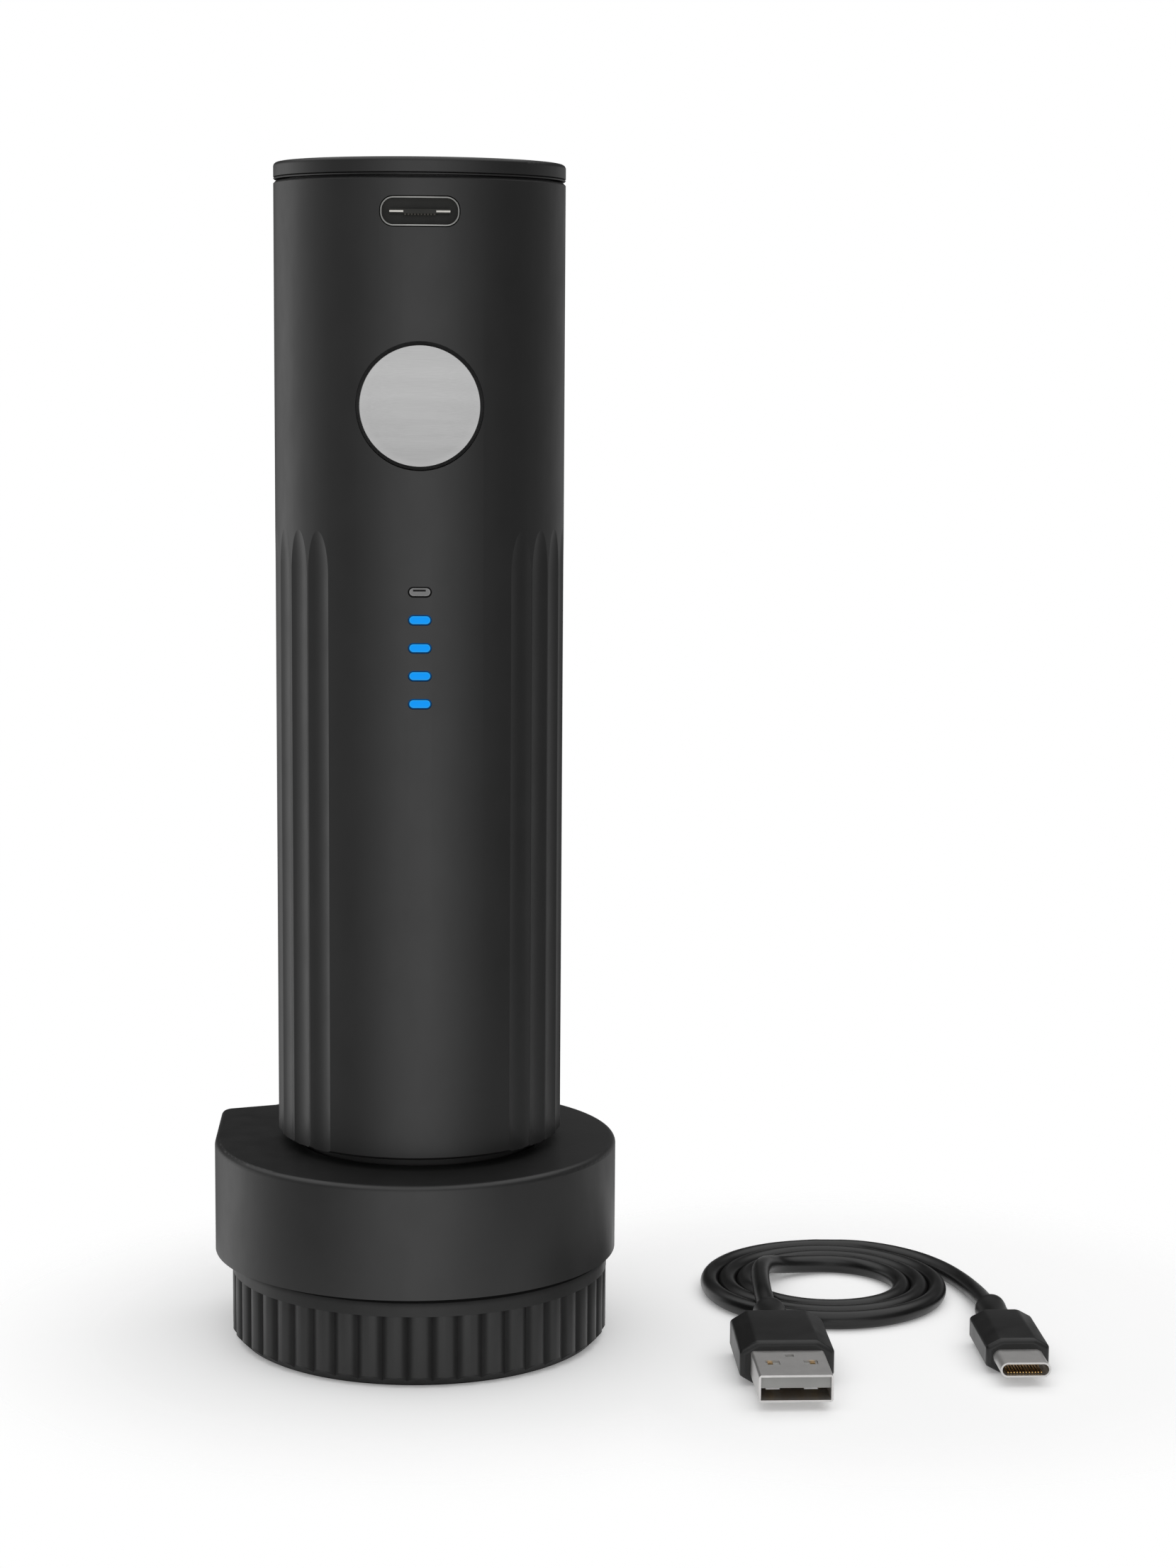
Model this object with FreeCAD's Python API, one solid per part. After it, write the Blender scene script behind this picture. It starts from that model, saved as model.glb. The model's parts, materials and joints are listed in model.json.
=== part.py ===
"""Electric wine opener standing in its foil-cutter base, with its charging lead beside it.

All lengths are millimetres.  +Z is up, the base stands on z = 0, the handle's axis is the Z axis
and the button, the charging port and the lamps look along -Y.  Each sub-part is one STEP file.
"""

import FreeCAD, Part
import math
import os

Vector = FreeCAD.Vector

# ---------------------------------------------------------------- clearances
PRESS_GAP = 0.01            # radial gap of pieces pressed or glued into each other
RUNNING_GAP = 0.05          # radial gap of turning shafts and wheels
SEAT_GAP = 0.03             # gap of pieces that rest on or sit inside each other
SLIDE_GAP = 0.2             # gap of pieces that are lifted out or slide past each other

# ---------------------------------------------------------------- base: knurled ring and collar
PAD_HEIGHT = 0.9
PAD_OUTER = 30.0
PAD_INNER = 27.2
PAD_PROUD = 0.3             # how far the rubber pad stands below the ring
RING_RADIUS = 32.05
RING_TOP = 14.9
RING_WALL = 3.3
RING_FLOOR = 1.5            # thickness of the ring's inturned bottom
RING_FLANGE = 2.0           # thickness of the ring's top plate
RING_BOTTOM_CHAMFER = 1.5
RING_TOP_CHAMFER = 0.5
RING_RIBS = 48
RING_RIB_HIGH = 12.1        # where the ribs end under the ring's plain band
RING_RIB_CREST = 3.1        # radius of a rib's round crest

COLLAR_GAP = 0.45           # dark line between the ring and the collar
COLLAR_TOP = 34.3
COLLAR_RADIUS = 34.2
COLLAR_OFFSET_X = -0.7      # the collar's round sits slightly off the axis, towards its corner
COLLAR_OFFSET_Y = 0.5
COLLAR_WALL = 2.3
COLLAR_ROOF = 2.2
COLLAR_TOP_FILLET = 1.0
CORNER_Y = 20.6             # where the flat side of the collar's corner ends
CORNER_RADIUS = 2.4
CORNER_BACK_SLOPE = math.radians(18.5)
SOCKET_WALL = 2.2
SOCKET_FLOOR = 2.0          # web that keeps the worm's point away from the bottle side
HUB_WIDTH = 4.4             # width of the ring-shaped hub under the web
HUB_DROP = 2.15             # how far the hub reaches below the ring's top face

PLATE_THICKNESS = 2.0       # retaining plate that holds the ring up against the collar
PLATE_OUTER = 25.0
SCREW_RADIUS = 1.0
SCREW_HEAD_RADIUS = 1.9
SCREW_HEAD_DEPTH = 1.1
PLATE_SCREWS = 3
PLATE_SCREW_DEPTH = 4.2     # how far the screws reach into the collar's hub

# ---------------------------------------------------------------- base: foil cutter
MOUTH_RADIUS = 15.6         # hole that a bottle's mouth goes into
MOUTH_CHAMFER = 1.0
CARRIER_TOP = 10.4
CUT_RADIUS = 14.3           # circle that the four wheels' edges touch
WHEELS = 4
WHEEL_RADIUS = 4.9
WHEEL_HUB = 2.2
WHEEL_THICKNESS = 1.6
WHEEL_EDGE = 0.12
WHEEL_Z = 6.1
WHEEL_PIN_RADIUS = 1.0
WHEEL_PIN_MARGIN = 0.8      # material above and below the ends of a wheel's pin
POCKET_MARGIN = 0.5         # room around a wheel in its pocket
POCKET_HEIGHT = 2.2
RELIEF_RADIUS = 3.4         # hollows between the wheels
RELIEF_CENTRE = 22.2
RELIEF_FLOOR = 1.6

# ---------------------------------------------------------------- handle shell, lid and nose
HANDLE_RADIUS = 24.0
SHELL_WALL = 1.8
SHELL_RISE = 1.8            # gap between the collar and the handle
SHELL_EDGE_CHAMFER = 0.4
SHELL_LIP = 1.5             # thickness of the inturned lip that carries the drive
TOTAL_HEIGHT = 197.8
SIDE_FLUTES = 9             # flutes on each side of the handle
SIDE_FLUTE_PITCH = math.radians(11.65)
SIDE_FLUTE_LAND = 0.3
SIDE_FLUTE_DEPTH = 0.55
FLUTE_DROP = 27.2           # from the button down to where the flutes begin to run out
FLUTE_NOSE_RADIUS = 45.0   # how softly a side flute runs out

LID_RISE = 3.0              # how far the lid stands above the shell
LID_SEAM = 0.25
LID_EDGE = 0.7              # radius round the lid's top
LID_GROOVE = 0.24
LID_GROOVE_RISE = 0.66      # from the shell's top to the upper edge of the lid's groove
LID_SKIRT_DEPTH = 2.8
LID_SKIRT_WALL = 1.5
LID_THICKNESS = 2.4
LID_ROOM = 0.3              # gap between the lid's skirt and the chassis

NOSE_STEP = 2.6             # how far the nose is set in from the shell's bore
NOSE_WALL = 2.8
NOSE_CHAMFER = 0.8
SEAT_PAD_HEIGHT = 0.8
SEAL_SECTION = 0.7
SEAL_DROP = 7.3             # from the collar's top down to the seal
SEAL_GROOVE = 1.1           # depth of the seal's groove in the nose
SLEEVE_WALL = 1.8
SLEEVE_FLANGE = 2.4
SLEEVE_ROOF = 3.0
LUG_INSET = 4.0             # from the shell's bore in to the circle of the three long screws
LUG_RADIUS = 2.2
LUGS = 3
LUG_BOSS = 9.0              # how far the sleeve's screw bosses reach down from its roof
LIFT = 60.0                 # travel that takes the handle clear of its base

# ---------------------------------------------------------------- gearbox and motor
GEAR_MODULE = 0.75
PRESSURE_ANGLE = math.radians(20.0)
SUN_TEETH = 12
PLANET_TEETH = 12
RING_TEETH = SUN_TEETH + 2 * PLANET_TEETH
PLANETS = 3
BACKLASH = 0.14
ADDENDUM = 0.85
DEDENDUM = 1.25
CASE_WALL = 1.76
CASE_FLOOR = 2.0
CASE_HEIGHT = 15.0
GEAR_LOW = 6.0              # bottom of the planets above the case's bottom
GEAR_WIDTH = 7.0
CARRIER_DISC_LOW = 3.0
CARRIER_DISC = 2.4
CARRIER_DISC_RADIUS = 12.2
PLANET_PIN_RADIUS = 1.2
PLANET_PIN_PROUD = 0.4
COVER_THICKNESS = 2.5
COVER_GAP = 0.8
MOTOR_RADIUS = 12.2
MOTOR_LENGTH = 30.8
MOTOR_ROOM = 7.3            # between the motor and the cell, for their tags and the shelf
MOTOR_BOSS_RADIUS = 5.0
MOTOR_BOSS = 1.4
MOTOR_REAR_BOSS = 2.2
MOTOR_SHAFT_RADIUS = 1.0
MOTOR_FLAT = 10.0           # half-width between the flats on the motor's can
MOTOR_SCREW_CIRCLE = 8.0
MOTOR_SCREW_DEPTH = 4.0
TERMINAL_X = 7.0
TERMINAL_WIDTH = 2.8
TERMINAL_THICKNESS = 0.5
TERMINAL_LENGTH = 3.0

# ---------------------------------------------------------------- worm
SHAFT_RADIUS = 3.0
BUSH_RADIUS = 4.8
BUSH_FLANGE_RADIUS = 6.4
BUSH_FLANGE = 0.8
HOLDER_RADIUS = 6.5
HOLDER_LENGTH = 11.0
HOLDER_PIN_RADIUS = 0.9
HOLDER_PIN_RISE = 8.2
WASHER_THICKNESS = 0.5
WASHER_MARGIN = 1.5         # how far the washer reaches past the holder's hub
SHAFT_HOLE = 4.5            # how far the output shaft goes into the holder
WORM_WIRE = 1.35
WORM_SIDES = 12             # the wire is drawn with this many flats round it
WORM_COIL_RADIUS = 3.4
WORM_PITCH = 9.5
WORM_POINT_TURNS = 0.6
WORM_POINT_RADIUS = 0.3
WORM_INSET = 5.0            # from the nose's end up to the worm's point
WORM_SHANK_RADIUS = 2.0
WORM_SHANK_DEPTH = 5.0      # how far the worm's shank goes into its holder

# ---------------------------------------------------------------- board, battery and chassis
BOARD_SINK = 7.6            # from the handle's surface to the board's front face
BOARD_THICKNESS = 1.0
BOARD_GAP = 0.5             # between the board's front corners and the shell
BOARD_END_GAP = 0.1         # between the board's top and the chassis's
BOARD_RISE = 0.8            # from the gear cover up to the board
CHASSIS_GAP = 0.3
CHASSIS_WALL = 1.6
CHASSIS_BOSS_RADIUS = 1.9
CHASSIS_BOSS_DEPTH = 5.0
CHASSIS_WEB = 1.6
BOARD_SCREW_RADIUS = 0.7
BOARD_SCREW_HEAD_RADIUS = 1.3
BOARD_SCREW_HEAD = 0.9
BOARD_SCREW_DEPTH = 2.8
BOARD_SCREW_INSET_LOW = 3.7
BOARD_SCREW_INSET_HIGH = 4.8
CELL_RADIUS = 9.15
CELL_LENGTH = 34.5
CELL_EDGE = 0.6
CELL_BUTTON_RADIUS = 3.0
CELL_BUTTON = 0.8
CELL_Y = 3.0
CELL_WALL = 1.5
CONTACT_THICKNESS = 0.4
CONTACT_HALF_WIDTH = 3.5

# ---------------------------------------------------------------- button, port and lamps
BUTTON_DROP = 36.0          # from the shell's top down to the button's middle
BUTTON_RADIUS = 9.8
BUTTON_GAP = 0.45
BUTTON_SINK = 1.0           # how far the button's flat face lies inside the handle's round
BUTTON_CAP = 1.3            # thickness of the metal cap
BUTTON_EDGE = 0.25          # chamfer round the cap
BUTTON_TRAVEL = 0.8
BUTTON_FLANGE_RADIUS = 11.2
BUTTON_FLANGE = 0.8
BUTTON_FLANGE_GAP = 0.14    # between the flange's rim and the shell's bore
BUTTON_STEM_RADIUS = 2.4
BUTTON_GUIDE_WALL = 1.4     # wall of the tube behind the shell that guides the button
SWITCH_WIDTH = 6.0
SWITCH_HEIGHT = 2.0
SWITCH_PLUNGER = 1.4
SWITCH_HOLE_DEPTH = 1.6
PORT_DROP = 5.5             # from the shell's top down to the port's middle
PORT_WIDTH = 12.45
PORT_HEIGHT = 4.55
PORT_GAP = 0.18             # dark line round the port's rim
PORT_RIM = 0.2
PORT_DEPTH = 3.0
PORT_FLOOR_THICKNESS = 1.0
PORT_STALK_WIDTH = 8.9      # block that joins the port's inside to the board
PORT_STALK_HEIGHT = 3.2
TONGUE_WIDTH = 9.6
TONGUE_HEIGHT = 0.7
TONGUE_SINK = 0.9
CONTACT_END_WIDTH = 2.2
CONTACT_END_HEIGHT = 0.28
CONTACT_SKIN = 0.08
CONTACT_PINS = 10
CONTACT_PIN_WIDTH = 0.3
CONTACT_PIN_HEIGHT = 0.25
LAMPS = 5
LAMP_DROP = 29.5            # from the button down to the top lamp, the charging lamp
LAMP_PITCH = 4.5
LAMP_WIDTH = 3.85
LAMP_HEIGHT = 1.75
LAMP_LINE = 0.22            # dark line round a lamp's face
LAMP_FACE = 0.6             # how deep the dark line is
LAMP_SINK = 0.12            # how far the lamps sit below the shell's surface
LAMP_ROOM = 0.4             # between a lamp and the light source behind it
LAMP_RISE = 2.8             # from the gear cover up to the lowest lamp's middle
LED_WIDTH = 1.6
LED_HEIGHT = 0.8
LED_DEPTH = 0.7

# ---------------------------------------------------------------- charging lead, flat on the table
CORD_DIAMETER = 3.2
CORD_REST = 0.05            # how far the lead's underside clears the table
CORD_SINK = 0.4             # how far the route's ends lie inside the plugs' sleeves
COIL_X = 73.1
COIL_Y = 19.1
COIL_SQUASH = 0.955         # the coil's width over its length
COIL_FIRST_RADIUS = 13.1    # centre line of the innermost turn, at the coil's far side
COIL_PITCH = 3.4
COIL_TURNS = 3
PLUG_A_WIDTH = 15.6
PLUG_A_LENGTH = 17.8
PLUG_A_THICKNESS = 7.6
PLUG_A_FLAT = 10.0
RELIEF_A_LENGTH = 10.2
RELIEF_RADIUS_A = 2.9
SHELL_A_WIDTH = 12.0
SHELL_A_HEIGHT = 4.5
SHELL_A_LENGTH = 12.6
SHELL_A_WALL = 0.35
WINDOW_A_X = 3.1
WINDOW_A_Y = 6.1            # from the overmould's face
WINDOW_A_WIDTH = 2.3
WINDOW_A_LENGTH = 2.1
OVAL_A_WIDTH = 2.7
OVAL_A_LENGTH = 1.3
OVAL_A_Y = 2.6
TONGUE_A_HEIGHT = 1.9
PLUG_C_WIDTH = 10.6
PLUG_C_LENGTH = 17.2
PLUG_C_THICKNESS = 6.0
PLUG_C_FLAT = 5.6
RELIEF_C_LENGTH = 9.5
RELIEF_RADIUS_C = 2.7
SHELL_C_WIDTH = 8.3
SHELL_C_HEIGHT = 2.5
SHELL_C_LENGTH = 7.0
SHELL_C_WALL = 0.3
SHELL_C_FLOOR = 0.8
PLUG_EDGE = 0.5

# The lead's route from the A plug over the coil into its innermost turn, relative to the coil's
# middle, with heights above the table, and from the outermost turn to the C plug.
ROUTE_IN = [
    (-13.1, -24.0, 3.85),
    (-13.4, -18.2, 4.9),
    (-13.2, -12.2, 5.05),
    (-12.8, -5.9, 5.05),
    (-12.0, 0.2, 4.9),
    (-10.3, 5.6, 3.9),
    (-7.5, 10.0, 2.4),
]
ROUTE_OUT = [
    (2.0, 23.1, 1.65),
    (7.9, 22.9, 1.65),
    (13.6, 19.9, 1.65),
    (18.5, 15.1, 1.65),
    (22.0, 9.0, 1.65),
    (24.3, 2.2, 1.65),
    (25.6, -5.0, 1.75),
    (26.0, -12.6, 2.4),
    (25.9, -20.2, 3.05),
]

# ---------------------------------------------------------------- sizes worked out from those above
SHELL_BORE = HANDLE_RADIUS - SHELL_WALL
NOSE_RADIUS = SHELL_BORE - NOSE_STEP
NOSE_BORE = NOSE_RADIUS - NOSE_WALL
SLEEVE_RADIUS = NOSE_BORE + SLEEVE_WALL
LUG_CIRCLE = SHELL_BORE - LUG_INSET
COVER_RADIUS = SHELL_BORE - COVER_GAP
CHASSIS_OUTER = SHELL_BORE - CHASSIS_GAP
CHASSIS_INNER = CHASSIS_OUTER - CHASSIS_WALL
BOARD_FRONT = HANDLE_RADIUS - BOARD_SINK
BOARD_BACK = BOARD_FRONT - BOARD_THICKNESS
BOARD_HALF_WIDTH = math.sqrt((SHELL_BORE - BOARD_GAP) ** 2 - BOARD_FRONT ** 2)
SCREW_HEAD_CORNER = math.sqrt((SHELL_BORE - BOARD_GAP) ** 2 - (BOARD_FRONT + BOARD_SCREW_HEAD) ** 2)
CHASSIS_BOSS_X = SCREW_HEAD_CORNER - BOARD_SCREW_HEAD_RADIUS
BUTTON_FACE = HANDLE_RADIUS - BUTTON_SINK
BUTTON_FLANGE_FRONT = math.sqrt((SHELL_BORE - BUTTON_FLANGE_GAP) ** 2 - BUTTON_FLANGE_RADIUS ** 2)
PORT_FLOOR = HANDLE_RADIUS - PORT_DEPTH
TONGUE_FRONT = HANDLE_RADIUS - TONGUE_SINK
LAMP_BACK = BOARD_FRONT + LED_DEPTH + LAMP_ROOM
COLLAR_LOW = RING_TOP + COLLAR_GAP
SOCKET_RADIUS = NOSE_RADIUS + SLIDE_GAP
SOCKET_OUTER = SOCKET_RADIUS + SOCKET_WALL
SOCKET_LOW = COLLAR_LOW + SOCKET_FLOOR
HUB_INNER = SOCKET_OUTER - HUB_WIDTH
HUB_LOW = RING_TOP - HUB_DROP
PLATE_LOW = HUB_LOW - PLATE_THICKNESS
PLATE_SCREW_CIRCLE = (HUB_INNER + SOCKET_OUTER) / 2
RING_LOW = PAD_PROUD
RING_BORE = RING_RADIUS - RING_WALL
CARRIER_LOW = RING_LOW + RING_FLOOR
WHEEL_CIRCLE = CUT_RADIUS + WHEEL_RADIUS
SEAT_PAD_TOP = SOCKET_LOW + SEAT_PAD_HEIGHT
NOSE_LOW = SEAT_PAD_TOP + SEAT_GAP
SEAL_Z = COLLAR_TOP - SEAL_DROP
SHELL_LOW = COLLAR_TOP + SHELL_RISE
FLANGE_LOW = SHELL_LOW + SHELL_LIP
# port, button and lamps are set from the shell's top, the drive from the lowest lamp, and the worm
# and the bottle's neck get what is left below it
SHELL_HIGH = TOTAL_HEIGHT - LID_RISE
LID_GROOVE_Z = SHELL_HIGH + LID_GROOVE_RISE
CHASSIS_HIGH = SHELL_HIGH - LID_SKIRT_DEPTH - LID_ROOM
PORT_Z = SHELL_HIGH - PORT_DROP
BUTTON_Z = SHELL_HIGH - BUTTON_DROP
LAMP_HIGH = BUTTON_Z - LAMP_DROP
SIDE_FLUTE_HIGH = BUTTON_Z - FLUTE_DROP
COVER_HIGH = LAMP_HIGH - (LAMPS - 1) * LAMP_PITCH - LAMP_RISE
MOTOR_HIGH = COVER_HIGH + MOTOR_LENGTH
CELL_LOW = MOTOR_HIGH + MOTOR_ROOM
CASE_HIGH = COVER_HIGH - COVER_THICKNESS
SLEEVE_TOP = CASE_HIGH - CASE_HEIGHT
SLEEVE_ROOF_LOW = SLEEVE_TOP - SLEEVE_ROOF
HOLDER_LOW = SLEEVE_ROOF_LOW - HOLDER_LENGTH
HOLDER_PIN_Z = HOLDER_LOW + HOLDER_PIN_RISE
SHAFT_LOW = SLEEVE_ROOF_LOW - SHAFT_HOLE
WORM_LOW = NOSE_LOW + WORM_INSET
BOARD_LOW = COVER_HIGH + BOARD_RISE
BOARD_HIGH = CHASSIS_HIGH - BOARD_END_GAP
BOARD_SCREW_LOW = BOARD_LOW + BOARD_SCREW_INSET_LOW
BOARD_SCREW_HIGH = BOARD_HIGH - BOARD_SCREW_INSET_HIGH
PLANET_LOW = SLEEVE_TOP + GEAR_LOW
PLANET_HIGH = PLANET_LOW + GEAR_WIDTH
CARRIER_DISC_Z = SLEEVE_TOP + CARRIER_DISC_LOW
PLANET_ORBIT = GEAR_MODULE * (SUN_TEETH + PLANET_TEETH) / 2
RELIEF_A_END = COIL_Y + ROUTE_IN[0][1] + CORD_SINK
RELIEF_C_END = COIL_Y + ROUTE_OUT[-1][1] + CORD_SINK
PLUG_A_X = COIL_X + ROUTE_IN[0][0]
PLUG_C_X = COIL_X + ROUTE_OUT[-1][0]
PLUG_A_Z = ROUTE_IN[0][2]
PLUG_C_Z = ROUTE_OUT[-1][2]


# ================================================================ helpers
def export(name, shape):
    """Write one sub-part and say what it measures."""
    solids = len(shape.Solids)
    if not shape.isValid() or solids == 0:
        raise RuntimeError(name + " is not a valid solid")
    shape.exportStep("parts/" + name + ".step")
    print("%-22s solids %2d  volume %10.2f" % (name, solids, shape.Volume))


def disc(radius, low, high, x=0.0, y=0.0):
    """Upright cylinder between two heights."""
    return Part.makeCylinder(radius, high - low, Vector(x, y, low))


def tube(outer, inner, low, high):
    """Upright tube about the Z axis."""
    return disc(outer, low, high).cut(disc(inner, low, high))


def block(x_size, y_size, z_size, x, y, z):
    """Box centred on a point."""
    corner = Vector(x - x_size / 2, y - y_size / 2, z - z_size / 2)
    return Part.makeBox(x_size, y_size, z_size, corner)


def front_disc(radius, front, back, x, z):
    """Cylinder along Y between two distances in front of the axis."""
    return Part.makeCylinder(radius, front - back, Vector(x, -front, z), Vector(0, 1, 0))


def front_slot(width, height, front, back, x, z):
    """Prism with round ends along Y, between two distances in front of the axis."""
    radius = height / 2
    half = width / 2 - radius
    middle = block(2 * half, front - back, height, x, -(front + back) / 2, z)
    left = front_disc(radius, front, back, x - half, z)
    right = front_disc(radius, front, back, x + half, z)
    return middle.fuse([left, right]).removeSplitter()


def soft_slot(width, height, corner, front, back, x, z):
    """Prism with rounded corners along Y, between two distances in front of the axis."""
    body = block(width, front - back, height, x, -(front + back) / 2, z)
    along = [e for e in body.Edges if abs(e.tangentAt(e.FirstParameter).y) > 0.99]
    return body.makeFillet(corner, along)


def turned(points):
    """Solid of revolution about Z from (radius, height) corners."""
    corners = [Vector(r, 0, z) for r, z in points]
    face = Part.Face(Part.makePolygon(corners + corners[:1]))
    return face.revolve(Vector(0, 0, 0), Vector(0, 0, 1), 360)


def about_z(shape, angle):
    """Copy of a shape turned about the Z axis, in radians."""
    copy = shape.copy()
    copy.rotate(Vector(0, 0, 0), Vector(0, 0, 1), math.degrees(angle))
    return copy


def repeated(shape, angles):
    """Copies of a shape turned about the Z axis to each angle."""
    return [about_z(shape, angle) for angle in angles]


def full_circle(count, first=0.0):
    """Evenly spaced angles."""
    return [first + 2 * math.pi * i / count for i in range(count)]


def at_angle(radius, angle):
    """Point in plan at a radius and an angle."""
    return radius * math.cos(angle), radius * math.sin(angle)


def screw(low, high, x, y):
    """Countersunk screw pointing down, its head's flat top at high."""
    neck = high - SCREW_HEAD_DEPTH
    head = Part.makeCone(SCREW_RADIUS, SCREW_HEAD_RADIUS, SCREW_HEAD_DEPTH, Vector(x, y, neck))
    slot = block(SCREW_HEAD_RADIUS * 1.3, 0.5, 0.8, x, y, high)
    return disc(SCREW_RADIUS, low, neck, x, y).fuse(head).cut(slot)


def screw_room(low, high, x, y):
    """What a countersunk screw takes out of the piece that it goes through."""
    depth = SCREW_HEAD_DEPTH
    wide = SCREW_HEAD_RADIUS + PRESS_GAP
    narrow = SCREW_RADIUS + PRESS_GAP
    head = Part.makeCone(narrow, wide, depth, Vector(x, y, high - depth))
    return disc(narrow, low, high - depth, x, y).fuse(head)


def flute_cutter(radius, width, depth):
    """Radius and centre distance of a round cutter that leaves a flute of a width and depth."""
    chord = math.sqrt(radius ** 2 - (width / 2) ** 2)
    floor = depth - (radius - chord)
    cutter = ((width / 2) ** 2 + floor ** 2) / (2 * floor)
    return cutter, chord - floor + cutter


# ================================================================ base
def foot_pad():
    """Rubber ring that the base stands on."""
    return tube(PAD_OUTER, PAD_INNER, 0.0, PAD_HEIGHT)


def ring_grooves():
    """What is cut away between the round ribs of the ring."""
    low = RING_LOW - 1
    band = tube(RING_RADIUS + 1, RING_RADIUS - RING_WALL / 2, low, RING_RIB_HIGH)
    rib = disc(RING_RIB_CREST, low, RING_RIB_HIGH, RING_RADIUS - RING_RIB_CREST)
    return band.cut(repeated(rib, full_circle(RING_RIBS)))


def cutter_ring():
    """Ribbed ring that is turned round the bottle's mouth; its top plate runs on the collar's hub."""
    bore = SOCKET_OUTER + RUNNING_GAP
    profile = [
        (bore, RING_TOP),
        (bore, RING_TOP - RING_FLANGE),
        (RING_BORE, RING_TOP - RING_FLANGE),
        (RING_BORE, CARRIER_LOW),
        (PAD_INNER - PAD_PROUD, CARRIER_LOW),
        (PAD_INNER - PAD_PROUD, RING_LOW),
        (RING_RADIUS - RING_BOTTOM_CHAMFER, RING_LOW),
        (RING_RADIUS, RING_LOW + RING_BOTTOM_CHAMFER),
        (RING_RADIUS, RING_TOP - RING_TOP_CHAMFER),
        (RING_RADIUS - RING_TOP_CHAMFER, RING_TOP),
    ]
    pad_room = tube(PAD_OUTER + PRESS_GAP, PAD_INNER - PRESS_GAP, 0.0, PAD_HEIGHT + PRESS_GAP)
    return turned(profile).cut(pad_room).cut(ring_grooves())


def collar_plan():
    """Face of the collar's outline: a round with one blunt corner at the back left."""
    radius = COLLAR_RADIUS
    side_x = COLLAR_OFFSET_X - radius
    along = Vector(math.cos(CORNER_BACK_SLOPE), math.sin(CORNER_BACK_SLOPE), 0)
    apex = Vector(side_x, CORNER_Y, 0)
    centre = Vector(COLLAR_OFFSET_X, COLLAR_OFFSET_Y, 0)
    # where the corner's back meets the round
    offset = apex - centre
    half = offset.dot(along)
    reach = -half - math.sqrt(half ** 2 - offset.dot(offset) + radius ** 2)
    back = apex + along * reach
    side = Vector(side_x, COLLAR_OFFSET_Y, 0)
    # the corner itself is an arc tangent to both flats
    turn = math.pi / 2 - CORNER_BACK_SLOPE
    set_back = CORNER_RADIUS * math.tan(turn / 2)
    low_end = apex - Vector(0, set_back, 0)
    high_end = apex + along * set_back
    hub = low_end + Vector(CORNER_RADIUS, 0, 0)
    bulge = apex - hub
    bulge.normalize()
    round_end = centre + Vector(radius, 0, 0)
    front = centre - Vector(0, radius, 0)
    back_angle = math.atan2(back.y - centre.y, back.x - centre.x)
    mid = centre + Vector(*at_angle(radius, back_angle / 2), 0)
    edges = [
        Part.Arc(side, front, round_end).toShape(),
        Part.Arc(round_end, mid, back).toShape(),
        Part.LineSegment(back, high_end).toShape(),
        Part.Arc(high_end, hub + bulge * CORNER_RADIUS, low_end).toShape(),
        Part.LineSegment(low_end, side).toShape(),
    ]
    return Part.Face(Part.Wire(edges))


def base_collar():
    """Collar that the hand holds: socket for the handle above, hub for the ring below."""
    body = collar_plan().extrude(Vector(0, 0, COLLAR_TOP - COLLAR_LOW))
    body.translate(Vector(0, 0, COLLAR_LOW))
    rim = [e for e in body.Edges if abs(e.BoundBox.ZMin - COLLAR_TOP) < 1e-6]
    body = body.makeFillet(COLLAR_TOP_FILLET, rim)
    wall_inside = COLLAR_RADIUS - COLLAR_WALL - max(abs(COLLAR_OFFSET_X), abs(COLLAR_OFFSET_Y))
    hollow = tube(wall_inside, SOCKET_OUTER, COLLAR_LOW, COLLAR_TOP - COLLAR_ROOF)
    socket = disc(SOCKET_RADIUS, SOCKET_LOW, COLLAR_TOP)
    lead_in = Part.makeCone(SOCKET_RADIUS, SOCKET_RADIUS + NOSE_CHAMFER, NOSE_CHAMFER,
                            Vector(0, 0, COLLAR_TOP - NOSE_CHAMFER))
    hub = tube(SOCKET_OUTER, HUB_INNER, HUB_LOW, COLLAR_LOW)
    body = body.cut([hollow, socket, lead_in]).fuse(hub).removeSplitter()
    holes = []
    for angle in full_circle(PLATE_SCREWS, math.pi / 2):
        x, y = at_angle(PLATE_SCREW_CIRCLE, angle)
        holes.append(disc(SCREW_RADIUS + PRESS_GAP, HUB_LOW, PLATE_LOW + PLATE_SCREW_DEPTH, x, y))
    return body.cut(holes)


def seat_pad():
    """Soft ring in the bottom of the socket that the handle's nose stands on."""
    return tube(NOSE_RADIUS, NOSE_BORE, SOCKET_LOW, SEAT_PAD_TOP)


def plate_screw_places():
    """Plan points of the retaining plate's screws."""
    return [at_angle(PLATE_SCREW_CIRCLE, a) for a in full_circle(PLATE_SCREWS, math.pi / 2)]


def upside_down(shape, height):
    """Copy of a shape turned over about a level line along X at a height."""
    copy = shape.copy()
    copy.rotate(Vector(0, 0, height), Vector(1, 0, 0), 180)
    return copy


def retaining_plate():
    """Ring-shaped plate screwed under the collar's hub, which holds the knurled ring up."""
    plate = tube(PLATE_OUTER, MOUTH_RADIUS, PLATE_LOW, HUB_LOW)
    low = PLATE_LOW - PLATE_SCREW_DEPTH
    rooms = [upside_down(screw_room(low, PLATE_LOW, x, -y), PLATE_LOW) for x, y in plate_screw_places()]
    return plate.cut(rooms)


def plate_screws():
    """Screws of the retaining plate, heads downward."""
    low = PLATE_LOW - PLATE_SCREW_DEPTH
    return Part.makeCompound(
        [upside_down(screw(low, PLATE_LOW, x, -y), PLATE_LOW) for x, y in plate_screw_places()])


def wheel_places():
    """Angles of the four cutting wheels."""
    return full_circle(WHEELS, math.pi / 4)


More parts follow.
